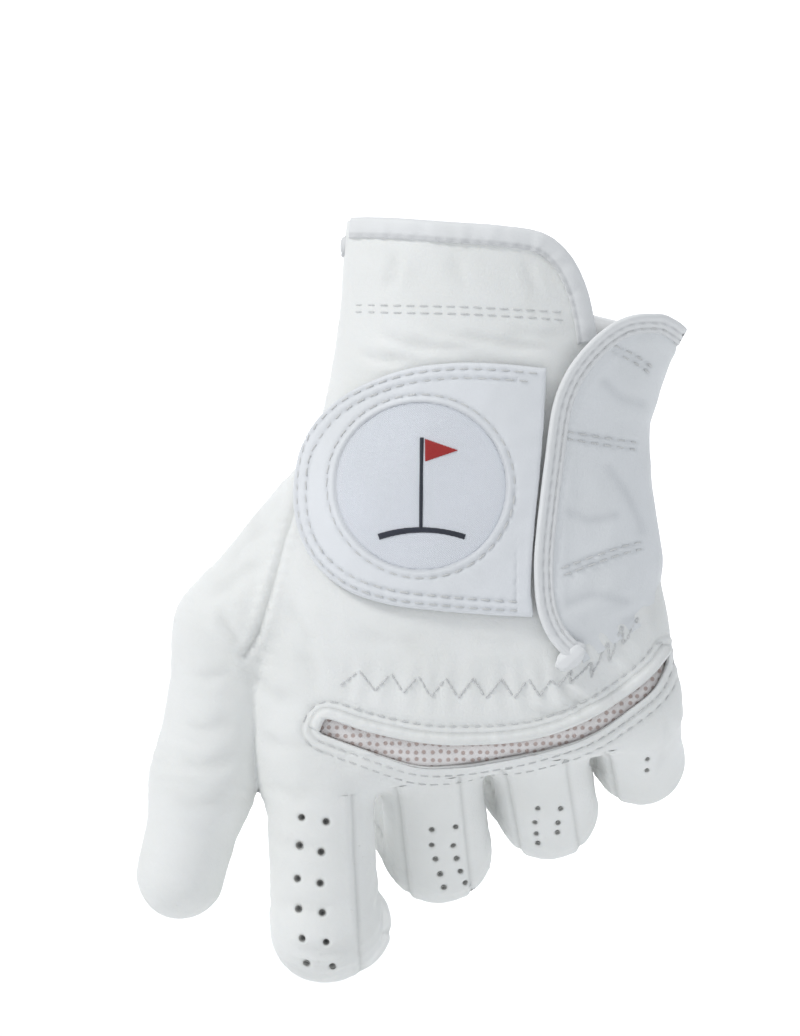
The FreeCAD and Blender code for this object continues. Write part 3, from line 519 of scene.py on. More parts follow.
def relief(P, N):
    """Height added to the leather, and how shaded it is, from wrinkles, gathers and seams."""
    q = P[:, [0, 2]]
    front = ss((-N[:, 1] + .25) / .5)
    near = P[:, 1] < 22
    h = np.zeros(len(P)); sh = np.zeros(len(P))
    # soft unevenness everywhere
    h += .10 * waves(P, 3, 1 / 16) + .045 * waves(P, 4, 1 / 6.5)
    for pts, a, w in CREASES:
        L = resample(curve(px(pts), 6), 1.6)
        c = (np.abs(q[:, 0] - L[:, 0].mean()) < 25) & (np.abs(q[:, 1] - L[:, 1].mean()) < 25) & near & (front > 0)
        if not c.any():
            continue
        d, s, side = line_d(q[c], L)
        ln = np.linalg.norm(np.diff(L, axis=0), axis=1).sum()
        f = a * front[c] * ss(s / (ln * .35)) * ss((ln - s) / (ln * .35))
        d = d + .25 * w * waves(P[c], 11, 1 / 9)
        h[c] += f * (-bump(d, w * .62) + .62 * bump(d - w * 1.35, w * .9))
        # painted shade along the bottom of the crease
        sh[c] += f * .30 * bump(d, w * .5)
    # gathers across the zigzag row
    c = near & (front > 0) & (P[:, 2] < -70) & (P[:, 2] > -104)
    d, s, side = line_d(q[c], resample(ZIG, 1.5))
    ph = s / 4.3 * 2 * np.pi + .8 * np.sin(s * .35) + .5 * waves(P[c], 21, 1 / 14)
    h[c] += front[c] * .30 * bump(d, 4.6) * np.cos(ph) * (.6 + .5 * ss((s - 30) / 25))
    h[c] -= front[c] * .30 * bump(d, 3.4)
    # stitched rim of the window: the leather is pressed down along the two rows, with painted shade along them
    dw, sw = poly_d(q[c], WINDOW)
    for k in (1.5, 3.2):
        h[c] -= front[c] * .20 * bump(dw - k, .45) * (1 + .5 * np.cos(sw / 2.4 * 2 * np.pi))
        sh[c] += front[c] * .22 * bump(dw - k, .35)
    h[c] += front[c] * .16 * bump(dw - 2.35, .6) + front[c] * .25 * bump(dw - .4, .8)
    # thumb seam, with painted shade in its groove
    d, s, side = line_d(q, resample(THUMB_SEAM, 1.5))
    f = ss((-N[:, 1] + .45) / .5) * near
    h += f * (-.5 * bump(d, .55) + .28 * bump(d - 1.5, .9) * (1 + .45 * np.cos(s / 2.5 * 2 * np.pi)))
    sh += f * .35 * bump(d, .4)
    # folds at the joints of each finger, rings across it on the inside of the bend and fine ones on the back
    for n in NAMES:
        c = FING[n]
        for k, amp in ((1, .30), (2, .24)):
            A, J, B = [np.array(v, float) for v in (c[k - 1], c[k], c[k + 1])]
            u, w = (J - A) / np.linalg.norm(J - A), (B - J) / np.linalg.norm(B - J)
            t = (u + w) / np.linalg.norm(u + w)
            inn = (w - u) / (np.linalg.norm(w - u) + 1e-6)
            r = P - J
            m = np.linalg.norm(r, axis=1) < 17
            a = r[m] @ t
            ins = ss((r[m] @ inn) / 6 + .5) if np.linalg.norm(w - u) > .3 else .5 + 0 * a
            fall = bump(a, 6.5)
            if n == "thumb":
                amp = .09
            h[m] += amp * fall * (.35 + 1.1 * ins) * np.cos(a / 2.9 * 2 * np.pi + 1.2 * waves(P[m], 31 + k, 1 / 10))
    return h, sh


# ------------------------------------------------------------------ build the skin
P0, T0 = surface(.75)
N0 = grad(P0)
# height above the cuff line; this field is not used, the pieces are cut at the cuff further on
top = P0[:, 2] - np.where(P0[:, 1] < 0.2, 60, 0) - (-1.5 - .30 * (P0[:, 0] + 24))


def split_refine(P, T, mask):
    """Each marked triangle becomes four."""
    M = T[mask]
    E = np.sort(np.concatenate([M[:, [0, 1]], M[:, [1, 2]], M[:, [2, 0]]]), 1)
    u, inv = np.unique(E[:, 0] * len(P) + E[:, 1], return_inverse=True)
    mid = (P[u // len(P)] + P[u % len(P)]) / 2
    k = len(M)
    a, b, c = [len(P) + inv[i * k:(i + 1) * k] for i in range(3)]
    n = np.concatenate([np.stack([M[:, 0], a, c], 1), np.stack([a, M[:, 1], b], 1), np.stack([c, b, M[:, 2]], 1), np.stack([a, b, c], 1)])
    return np.concatenate([P, mid]), np.concatenate([T[~mask], n])


BACKEDGE = np.array([(24.4, -10), (24.4, -74), (27, -78), (31.0, -75), (34.4, -68), (34.8, -60), (35.2, -45), (36, -30), (60, -24), (60, 20), (24.4, 20)], float)
CUFFCUT = np.concatenate([CUFFTOP[:-1], [(27, -23), (70, -23), (70, 40), (-70, 40), (-70, 2.8)]])


def label(P):
    """Fields that divide the skin into pieces."""
    f = {n: finger_d(P, n) for n in NAMES}
    h = hand_d(P)
    e = (P[:, 0] + 30) * SL[0] + (P[:, 2] + 114) * SL[2]
    away = np.maximum(e + 1.0, P[:, 1] - 22.5)
    xs = np.interp(P[:, 2], XS[:, 0], XS[:, 1]) + 9 * ss((P[:, 1] - 2) / 10) * ss((P[:, 2] + 100) / 14)
    th = P[:, 0] - xs
    return f, h, away, th


def take(P, T, *fs):
    """Clip by several fields in turn; each is a function of points."""
    for f in fs:
        P, T = clip(P, T, f(P))
    return P, T


def q2(P):
    return P[:, [0, 2]]


is_thumb = lambda P: label(P)[3]
is_hand = lambda P: label(P)[2]
backhalf = lambda P: P[:, 1] - .1


def finish_piece(P, T, wall=None, extra=None):
    N = grad(P)
    h, sh = relief(P, N)
    if extra is not None:
        a, b = extra(P, N)
        h += a; sh = np.maximum(sh, b)
    # the true slope of the relief along the cut border, so that neighbours shade alike there
    B = np.unique(border(T))
    U = np.cross(N[B], [0.31, 0.2, 0.93]); U /= np.linalg.norm(U, axis=1, keepdims=True)
    W = np.cross(N[B], U)
    g = []
    for D in (U, W):
        hh = []
        for sg_ in (.25, -.25):
            Q = P[B] + D * sg_
            NQ = grad(Q)
            a = relief(Q, NQ)[0]
            if extra is not None:
                a = a + extra(Q, NQ)[0]
            hh.append(a)
        g.append((hh[0] - hh[1]) / .5)
    nb = N[B] - U * g[0][:, None] - W * g[1][:, None]
    nb /= np.linalg.norm(nb, axis=1, keepdims=True)
    RIM[:] = [B, nb]
    P = P + N * h[:, None]
    if wall:
        n = len(P)
        P, T = thicken(P, T, N, wall)
        # the inner skin gets a little painted shade
        sh = np.concatenate([sh, np.full(n, .12)])
    return P, T, sh


RIM = [None, None]


# back of the hand
Pb, Tb = take(P0, T0, backhalf, lambda P: -is_thumb(P), is_hand, lambda P: -poly_d(q2(P), WINDOW)[0])
keepback = lambda P: -poly_d(q2(P), CUFFCUT)[0]
Pb, Tb = take(Pb, Tb, keepback, lambda P: np.where(P[:, 0] > 20, -poly_d(q2(P), BACKEDGE)[0], -9))
mz = lambda P, T: (np.abs(line_d(q2(P), WINDOW, True)[0]) < 5)
c = Pb[Tb].mean(1)
m = (line_d(c[:, [0, 2]], WINDOW, True)[0] < 4.2)
Pb, Tb = split_refine(Pb, Tb, m)
P, T, sh = finish_piece(Pb, Tb, .9)
BACK = mk("back_of_hand", P, T, M_LEATHER, sh, "hand", ["back_panel"], rim=RIM)
# palm
Pp, Tp = take(P0, T0, lambda P: -backhalf(P), lambda P: -is_thumb(P), is_hand, lambda P: P[:, 2] - (-1.5 - .30 * (P[:, 0] + 24)))
P, T, sh = finish_piece(Pp, Tp, .9)
PALM = mk("palm", P, T, M_LEATHER, sh, "hand", ["palm_panel"], rim=RIM)
# thumb, set in
Pt, Tt = take(P0, T0, is_thumb, lambda P: np.where(P[:, 1] < .1, -9, P[:, 2] - (-1.5 - .30 * (P[:, 0] + 24))), keepback)
P, T, sh = finish_piece(Pt, Tt, .9)
mk("thumb", P, T, M_LEATHER, sh, ("hand", "thumb_tip", (-51.5, 5, -100), (-55.5, 5, -119)), ["thumb_stall", "thumb_knuckle_fold", "thumb_tip_stall"], rim=RIM)

# fingers
ENDS = {}
for n in NAMES[:4]:
    c4 = [np.array(v, float) for v in FING[n][:4]]
    r = FING[n][4]
    u1 = (c4[1] - c4[0]) / np.linalg.norm(c4[1] - c4[0])
    u2 = (c4[2] - c4[1]) / np.linalg.norm(c4[2] - c4[1])
    t = (u1 + u2) / np.linalg.norm(u1 + u2)
    st, en = c4[1] - t * 8.5, c4[1] + t * 8.5
    ENDS[n] = (st, en)
    mine = lambda P, n=n: label(P)[0][n] - np.min([label(P)[0][k] for k in NAMES[:4] if k != n], axis=0)
    Pf, Tf = take(P0, T0, lambda P: -is_thumb(P), lambda P: -is_hand(P), mine)
    # side strips: across the finger, from the line of its bones
    sides = {"index": [1], "middle": [-1, 1], "ring": [-1, 1], "little": [-1]}[n]

    def across(P, s, n=n, c4=c4, r=r):
        best = np.full(len(P), 1e9); val = np.zeros(len(P))
        for i in range(3):
            a, b = c4[i], c4[i + 1]
            u = (b - a) / np.linalg.norm(b - a)
            lat = np.array([1, 0, 0]) - u * u[0] if i == 0 else np.cross(c4[2] - c4[1], c4[3] - c4[2])
            lat = lat / np.linalg.norm(lat)
            lat = lat if lat[0] > 0 else -lat
            tt = np.clip(((P - a) @ u) / np.linalg.norm(b - a), 0, 1)
            w = P - a - tt[:, None] * (b - a)
            d = np.linalg.norm(w, axis=1)
            m = d < best
            best[m] = d[m]
            val[m] = (w[m] @ lat) * s - .62 * (r[i] + (r[i + 1] - r[i]) * tt[m])
        return val

    def seams(P, N, n=n, sides=sides, across=across):
        h = np.zeros(len(P)); sh = np.zeros(len(P))
        for s in sides:
            d = across(P, s)
            h += -.38 * bump(d, .55) + .16 * bump(d + 1.3, .8)
            # painted shade in the seam groove
            sh += .3 * bump(d, .38)
        return h, sh

    for s in sides:
        Pc, Tc = take(Pf, Tf, lambda P, s=s: -across(P, s))
        P, T, sh = finish_piece(Pc, Tc, None, seams)
        names = {"index": ["index_tip_fourchette"], "middle": ["index_middle_fourchette", "middle_tip_fourchette"], "ring": ["middle_ring_fourchette", "ring_tip_fourchette"], "little": ["ring_little_fourchette", "little_tip_fourchette"]}[n]
        mk("%s_side_%s" % (n, "outer" if s > 0 else "inner"), P, T, M_LEATHER, sh, ("hand", n + "_tip", st, en), names if s == sides[0] else [], rim=RIM)
        Pf, Tf = take(Pf, Tf, lambda P, s=s: across(P, s))
    for lvl in (4.0, 2.4):
        cc = Tf
        cen = Pf[Tf].mean(1)
        rad, holes = PERF[n]
        hp = np.array(px(holes))
        dist = np.min(np.hypot(cen[:, 0, None] - hp[None, :, 0], cen[:, 2, None] - hp[None, :, 1]), 1)
        Pf, Tf = split_refine(Pf, Tf, (dist < lvl * .6) & (cen[:, 1] < c4[1][1]))

    def hole(P, rad=rad, hp=hp, c4=c4):
        d = np.min(np.hypot(P[:, 0, None] - hp[None, :, 0], P[:, 2, None] - hp[None, :, 1]), 1)
        return np.where(P[:, 1] < c4[1][1] - 1, rad - d, -5)

    def dish(P, N, rad=rad, hp=hp, c4=c4, seams=seams):
        h, sh = seams(P, N)
        d = np.min(np.hypot(P[:, 0, None] - hp[None, :, 0], P[:, 2, None] - hp[None, :, 1]), 1)
        f = P[:, 1] < c4[1][1] - 1
        h -= f * .22 * bump(d - rad, .35)
        # painted shade round the rim of each hole
        sh += f * .45 * bump(d - rad, .2)
        return h, sh

    Pf, Tf = take(Pf, Tf, lambda P: hole(P))
    P, T, sh = finish_piece(Pf, Tf, None, dish)
    mk(n + "_finger", P, T, M_LEATHER, sh, ("hand", n + "_tip", st, en), [n + "_stall", n + "_knuckle_fold", n + "_tip_stall"], rim=RIM)
    # the inside of each hole: a short wall and a floor, painted darker with depth as shade
    V, F, sh = [], [], []
    for hx, hz in hp:
        y = -40.0
        for _ in range(60):
            d = body_d(np.array([[hx, y, hz]]))[0]
            y += max(d, 0) * .9
        if abs(d) > .3 or y > c4[1][1] - 1:
            continue
        pt = np.array([hx, y, hz])
        nn = grad(pt[None])[0]
        ua = np.cross(nn, [0, 1, .3]); ua /= np.linalg.norm(ua); ub = np.cross(nn, ua)
        b0 = len(V)
        # each ring: radius, depth and painted shade
        for (rr, dep, shd) in ((1.12, -.02, .1), (1.0, .28, .5), (.8, .75, .9), (.0, .8, 1)):
            for k in range(14):
                an = k / 14 * 2 * math.pi
                V.append(pt - nn * dep + (ua * math.cos(an) + ub * math.sin(an)) * rad * rr); sh.append(shd)
        for lv in range(3):
            for k in range(14):
                a, b = b0 + lv * 14 + k, b0 + lv * 14 + (k + 1) % 14
                F.append((a, b, b + 14)); F.append((a, b + 14, a + 14))
    if V:
        mk(n + "_air_holes", V, F, M_PIT, np.array(sh), ("hand", n + "_tip", st, en))


# ------------------------------------------------------------------ sheets laid on the glove
def trace(q, off=0.0, y0=-45.0):
    """Points above the 2-D places q where the back of the glove, grown by off, is met from behind."""
    y = np.full(len(q), y0)
    d = np.full(len(q), 9.0)
    for _ in range(45):
        P = np.stack([q[:, 0], y, q[:, 1]], 1)
        d = body_d(P) - off
        y = np.where(y < 12, y + d * .92, y)
    return np.stack([q[:, 0], y, q[:, 1]], 1), np.abs(d) < .25


def sheet(name, poly, off, thick, mat, body, replace=(), step=.45, edge=1.0, shape=None, cutfn=None, under=True):
    """Cloth or leather cut to an outline and laid off above the leather; shape(q, d, s, P) gives extra height and shade."""
    step = step * 1
    lo, hi = poly.min(0) - 1, poly.max(0) + 1
    gx, gz = np.arange(lo[0], hi[0], step), np.arange(lo[1], hi[1], step)
    X, Z = np.meshgrid(gx, gz, indexing="ij")
    q = np.stack([X.ravel(), Z.ravel()], 1)
    d, _ = poly_d(q, poly)
    P, ok = trace(q, off)
    ok &= d < 1.2 * step * 1.5
    I = np.arange(len(q)).reshape(X.shape)
    quad = np.stack([I[:-1, :-1].ravel(), I[1:, :-1].ravel(), I[1:, 1:].ravel(), I[:-1, 1:].ravel()], 1)
    quad = quad[ok[quad].all(1)]
    T = np.concatenate([quad[:, [0, 1, 2]], quad[:, [0, 2, 3]]])
    u, inv = np.unique(T, return_inverse=True)
    P, T, d = P[u], inv.reshape(-1, 3), d[u]
    P, T = clip(P, T, np.where(np.abs(d) < 1e-5, -1e-5, d))
    if cutfn is not None:
        P, T = clip(P, T, cutfn(P))
    q = P[:, [0, 2]]
    d, s = poly_d(q, poly)
    N = grad(P)
    # faces look outwards, away from the hand
    fn = np.cross(P[T[:, 1]] - P[T[:, 0]], P[T[:, 2]] - P[T[:, 0]])
    if (fn * N[T[:, 0]]).sum() < 0:
        T = T[:, ::-1]
    t = thick * np.sqrt(np.clip(1 - (1 - np.clip(-d / edge, 0, 1)) ** 2, 0, 1)) + .03
    sh = np.zeros(len(P))
    if shape is not None:
        a, b = shape(q, -d, s, P)
        t = t + a * ss(-d / .5); sh = sh + b
    n = len(P)
    A, F = thicken(P, T, N, 0.0, t)
    # the under face gets a little painted shade
    return mk(name, A, F, mat, np.concatenate([sh, np.full(n, .1)]), body, list(replace)), P, t


def capsules(C, D, length, radius, squash=1.0):
    """Small stitches: centres C, directions D."""
    D = D / (np.linalg.norm(D, axis=1, keepdims=True) + 1e-9)
    up = np.tile([0.0, -1.0, .2], (len(C), 1))
    A = np.cross(D, up); A /= np.linalg.norm(A, axis=1, keepdims=True) + 1e-9
    B = np.cross(D, A)
    V, F = [], []
    prof = [(-.5, .35), (-.36, .85), (0, 1.0), (.36, .85), (.5, .35)]
    K = 8
    n = len(C)
    for t, r in prof:
        for k in range(K):
            an = k / K * 2 * math.pi
            V.append(C + D * (t * length) + (A * math.cos(an) + B * math.sin(an)) * r * radius)
    V = np.stack(V, 1).reshape(-1, 3)
    base = (np.arange(n) * len(prof) * K)[:, None]
    q = []
    for i in range(len(prof) - 1):
        for k in range(K):
            q.append((i * K + k, i * K + (k + 1) % K, (i + 1) * K + (k + 1) % K))
            q.append((i * K + k, (i + 1) * K + (k + 1) % K, (i + 1) * K + k))
    for k in range(1, K - 1):
        q.append((0, k + 1, k)); e = (len(prof) - 1) * K
        q.append((e, e + k, e + k + 1))
    q = np.array(q)
    return V, (q[None] + base[:, :, None]).reshape(-1, 3)


def skin_at(q):
    P, ok = trace(q)
    N = grad(P)
    h, _ = relief(P, N)
    return P + N * h[:, None], N, ok


def stitch_rows(lines, place, pitch=2.6, length=1.75, radius=.2, lift=.04):
    Vs, Fs, k = [], [], 0
    for L in lines:
        L = np.asarray(L)
        R = resample(L, pitch / 2)
        if len(R) < 3:
            continue
        mid = R[1::2]
        a, b = R[0::2][:len(mid)], R[2::2]
        m = min(len(a), len(b), len(mid))
        a, b, mid = a[:m], b[:m], mid[:m]
        P, N, ok = place(mid)
        Pa, _, oa = place(a + (b - a) * .2)
        Pb, _, ob = place(a + (b - a) * .8)
        ok = ok & oa & ob
        if not ok.any():
            continue
        P, N, D = P[ok], N[ok], (Pb - Pa)[ok]
        D = D + rng.normal(0, .04, D.shape)
        V, F = capsules(P + N * lift, D, length, radius)
        Vs.append(V); Fs.append(F + k); k += len(V)
    return np.concatenate(Vs), np.concatenate(Fs)


def offset_line(L, d):
    t = np.gradient(L, axis=0)
    t /= np.linalg.norm(t, axis=1, keepdims=True) + 1e-9
    return L + np.stack([-t[:, 1], t[:, 0]], 1) * d


# tab
R_B, R_S = 16.4, 17.9


def tab_shape(q, d, s, P):
    h = .16 * waves(P, 41, 1 / 22) + .05 * waves(P, 42, 1 / 6) + .10 * ss((d - 4) / 5)
    sh = np.zeros(len(q))
    left = q[:, 0] < 8.6
    # stitch grooves, with painted shade in them
    for k in (1.25, 3.0):
        g = bump(d - k, .42) * left
        h = h - .22 * g * (1 + .55 * np.cos(s / 2.6 * 2 * np.pi)); sh += .26 * g
    h = h + .14 * bump(d - 2.1, .6) * left
    r = np.hypot(*(q - BC).T)
    a = np.arctan2(*(q - BC).T)
    # stitch groove round the badge, with painted shade in it
    g = bump(r - R_S, .42)
    h = h - .22 * g * (1 + .5 * np.cos(a * 42)); sh += .22 * g
    h = h - .62 * ss((R_B + .25 - r) / .5) + .12 * bump(r - R_B - .6, .5)
    # painted shade round the rim of the badge's recess
    sh += .42 * bump(r - R_B + .05, .28)
    return h, sh


TABBODY = ("wrist_flap", "closure_tab", (13.2, -19, -50), (9.5, -19, -50))
_, TP, TT = sheet("tab", TABFULL, 1.05, 1.45, M_TAB, "closure_tab", ["closure_tab"], step=.36, shape=tab_shape)
TABSHAPE = TABFULL


def tab_at(off_extra=0.0, base=1.05, thick=1.45, shape=tab_shape, poly=TABFULL):
    def f(q):
        P, ok = trace(q, base)
        N = grad(P)
        d, s = poly_d(q, poly)
        a, _ = shape(q, -d, s, P)
        t = thick * np.sqrt(np.clip(1 - (1 - np.clip(-d / 1.0, 0, 1)) ** 2, 0, 1)) + .03 + a * ss(-d / .5)
        return P + N * (t + off_extra)[:, None], N, ok & (d < 0) if np.ndim(t) else ok
    return f


def inset(L, k):
    return offset_line(L, k)


tl = resample(TABEDGE, .8)
sgn = 1 if poly_d(inset(tl, 1.0)[20:21], TABFULL)[0][0] < 0 else -1
rows = [inset(tl, sgn * 1.25)[2:-2], inset(tl, sgn * 3.0)[4:-4]]
V, F = stitch_rows(rows, tab_at(), radius=.21, lift=.06)
mk("tab_stitching", V, F, M_THREAD, None, "closure_tab", ["tab_thread"])
an = np.linspace(0, 2 * math.pi, 160)
ring = np.stack([BC[0] + R_S * np.cos(an), BC[1] + R_S * np.sin(an)], 1)
V, F = stitch_rows([ring], tab_at(), radius=.2, lift=.06)
mk("badge_stitching", V, F, M_THREAD, None, "closure_tab", ["badge_thread"])
DISC = np.stack([BC[0] + (R_B + .15) * np.cos(an[:-1]), BC[1] + (R_B + .15) * np.sin(an[:-1])], 1)


def disc_shape(q, d, s, P):
    # painted shade along the edge of the badge
    return .05 * waves(P, 51, 1 / 14) + .16 * waves(P, 41, 1 / 22), .25 * bump(d, .5)


sheet("badge", DISC, 1.05, 1.12, M_BADGE, "closure_tab", ["badge_disc"], step=.36, edge=.15, shape=disc_shape)
def bar(L, w):
    a, b = offset_line(L, w / 2), offset_line(L, -w / 2)
    return np.concatenate([a, b[::-1]])


def satin(q, d, s, P):
    return .05 * np.cos((q[:, 0] * .7 + q[:, 1]) * 2 * np.pi / .55) + .16 * waves(P, 41, 1 / 22), 0 * d


pole = np.array([(BC[0] - .2, BC[1] - 8.6), (BC[0] - .1, BC[1]), (BC[0], BC[1] + 9.6)])
sheet("badge_pole", bar(resample(pole, .6), .95), 2.0, .5, M_DARK, "closure_tab", ["badge_motif"], step=.2, edge=.35, shape=satin, )
ax_ = np.linspace(-8.5, 8.5, 30)
arc = np.stack([BC[0] + ax_, BC[1] - 8.9 - (ax_ / 8.5) ** 2 * 1.4 + .4], 1)
sheet("badge_ground", bar(arc, 1.3), 2.0, .5, M_DARK, "closure_tab", [], step=.2, edge=.4, shape=satin)
pen = resample(np.array([(BC[0] + .5, BC[1] + 9.4), (BC[0] + 7.2, BC[1] + 7.0), (BC[0] + .5, BC[1] + 4.6), (BC[0] + .5, BC[1] + 9.4)]), .5)[:-1]
sheet("badge_flag", pen, 2.0, .5, M_RED, "closure_tab", ["badge_pennant"], step=.2, edge=.35, shape=satin)

# under the tab
shr = lambda k: TABFULL + (TABFULL.mean(0) - TABFULL) * k
sheet("tab_lining", shr(.035), .78, .27, M_LINE, "closure_tab", ["tab_lining"], step=.8, edge=.3)
HK = resample(np.array([(-31, -42), (-26, -37), (-8, -35), (-8, -70), (-24, -67.5), (-31, -60), (-31, -42)], float), 1)[:-1]
sheet("hook_patch", HK, .55, .26, M_HOOK, "closure_tab", ["hook_patch"], step=.8, edge=.2)
LP = resample(np.array([(-27, -42), (-22, -36.5), (8, -36), (8, -68), (-20, -68), (-27, -62), (-27, -42)], float), 1)[:-1]
sheet("loop_patch", LP, .05, .42, M_LOOP, "hand", ["loop_patch"], step=.8, edge=.3)

# window
wc = WINDOW.mean(0)
# the shape also gives a painted shade along the window's edge
sheet("knuckle_mesh_panel", WINDOW, -1.55, .35, M_MESH, "hand", ["knuckle_mesh"], step=.45, edge=.1,
      shape=lambda q, d, s, P: (.12 * waves(P, 61, 1 / 9) + .25 * ss(d / 3), .35 * bump(d, .7)))


def tape(name, L, prof, surf, mat, body, replace, step=.5, wob=0.0, seed=5, pitch=None, closed=True):
    """Tape folded over an edge: prof is (distance in from the edge, height, painted shade) round the tape."""
    L = resample(np.asarray(L, float), step)
    t = np.gradient(L, axis=0); t /= np.linalg.norm(t, axis=1, keepdims=True)
    nrm = np.stack([-t[:, 1], t[:, 0]], 1)
    rows, shs = [], []
    s = np.arange(len(L)) * step
    r = np.random.default_rng(seed)
    wb = wob * (np.cos(s * 2 * np.pi / 3.1 + r.uniform(0, 6)) * .5 + np.cos(s * 2 * np.pi / 5.3 + r.uniform(0, 6)) + np.cos(s * 2 * np.pi / 9.7))
    for w, off, shd in prof:
        groove = 0
        if pitch and shd > 0:
            groove = -.12 * np.cos(s / pitch * 2 * np.pi)
        rows.append(surf(L + nrm * w, off + wb * (.4 + .6 * (off > 0)) + groove)); shs.append(np.full(len(L), shd))
    V = np.stack(rows, 1).reshape(-1, 3); sh = np.stack(shs, 1).ravel()
    m, k = len(L), len(prof)
    F = []
    for j in range(k if closed else k - 1):
        a = np.arange(m - 1) * k + j; b = np.arange(m - 1) * k + (j + 1) % k
        F += [np.stack([a, b, b + k], 1), np.stack([a, b + k, a + k], 1)]
    F = np.concatenate(F)
    caps = [(0, j + 1, j) for j in range(1, k - 1)] + [((m - 1) * k, (m - 1) * k + j, (m - 1) * k + j + 1) for j in range(1, k - 1)]
    F = np.concatenate([F, np.array(caps)])
    # outward faces
    c = V.mean(0)
    vol = np.einsum("ij,ij->i", V[F[:, 0]] - c, np.cross(V[F[:, 1]] - c, V[F[:, 2]] - c)).sum()
    if vol < 0:
        F = F[:, ::-1]
    return mk(name, V, F, mat, sh, body, replace)


def on_hand(q, off):
    """Point on the plain hand form grown by off, under a place seen from the back."""
    z = q[:, 1]
    cx, cy, a, b = [hermite(z, k) for k in (1, 2, 3, 4)]
    u = np.clip((q[:, 0] - cx) / (a + off), -.9995, .9995)
    return np.stack([cx + u * (a + off), cy - (b + off) * np.sqrt(1 - u * u), z], 1)


def flare(z):
    return np.interp(z, [-60, -44, -38, -28, -18, 6], [0, .1, .8, 4.2, 8, 16])


def on_flap(q, off):
    z = q[:, 1]
    cx, cy, a, b = [hermite(z, k) for k in (1, 2, 3, 4)]
    e = flare(z)
    u = np.clip((q[:, 0] - cx - e / 2) / (a + off + e / 2), -.9995, .9995)
    return np.stack([cx + e / 2 + u * (a + off + e / 2), cy - (b + off + e / 8) * np.sqrt(1 - u * u), z], 1)


def on_skin(q, off):
    off = np.broadcast_to(np.asarray(off, float), (len(q),))
    P, ok = trace(q)
    N = grad(P)
    h, _ = relief(P, N)
    return P + N * (h + off)[:, None]


side = -1.0
def prof(pairs, sgn=1):
    return [(w * sgn, o, s) for w, o, s in pairs]


tape("window_lip", MESHPOLY, prof([(-.3, -.9, .5), (-.45, .0, .2), (-.15, .62, 0), (.5, .82, 0), (1.3, .55, 0), (2.0, .12, .35), (2.1, -.3, .3), (.3, -.9, .3)]), on_skin, M_LEATHER, "hand", ["window_lip"], wob=.05)
BP = [(3.7, .9, .2), (3.65, 2.35, .15), (3.1, 2.5, .0), (2.75, 2.28, .35), (2.4, 2.55, 0), (1.9, 2.6, 0), (1.6, 2.45, .25), (1.2, 2.95, 0), (.6, 3.2, 0), (.05, 2.9, 0), (-.2, 2.2, 0), (-.1, 1.5, .05), (.4, 1.0, .2), (1.4, .8, .25), (2.6, .75, .25)]
FLAPB = ("hand", "wrist_flap", (37.5, -3, -76), (29.0, -10, -64))
tape("slit_binding", EDGE, BP, on_flap, M_BIND, "wrist_flap", ["slit_binding"], wob=.05, pitch=2.6)
CP = [(.35, .2, .1), (.5, -.4, .1), (.1, -1.25, .2), (-1.4, -1.5, .2), (-3.2, -1.45, .25), (-3.6, -.9, .3), (-3.7, .15, .3), (-3.55, .75, .1), (-3.0, .68, .35), (-2.5, .95, 0), (-1.5, 1.05, 0), (-.5, 1.0, 0), (.1, .7, 0)]
tape("cuff_binding", CUFFTOP, CP, on_hand, M_BIND, "hand", ["cuff_binding"], wob=.07, pitch=2.6)


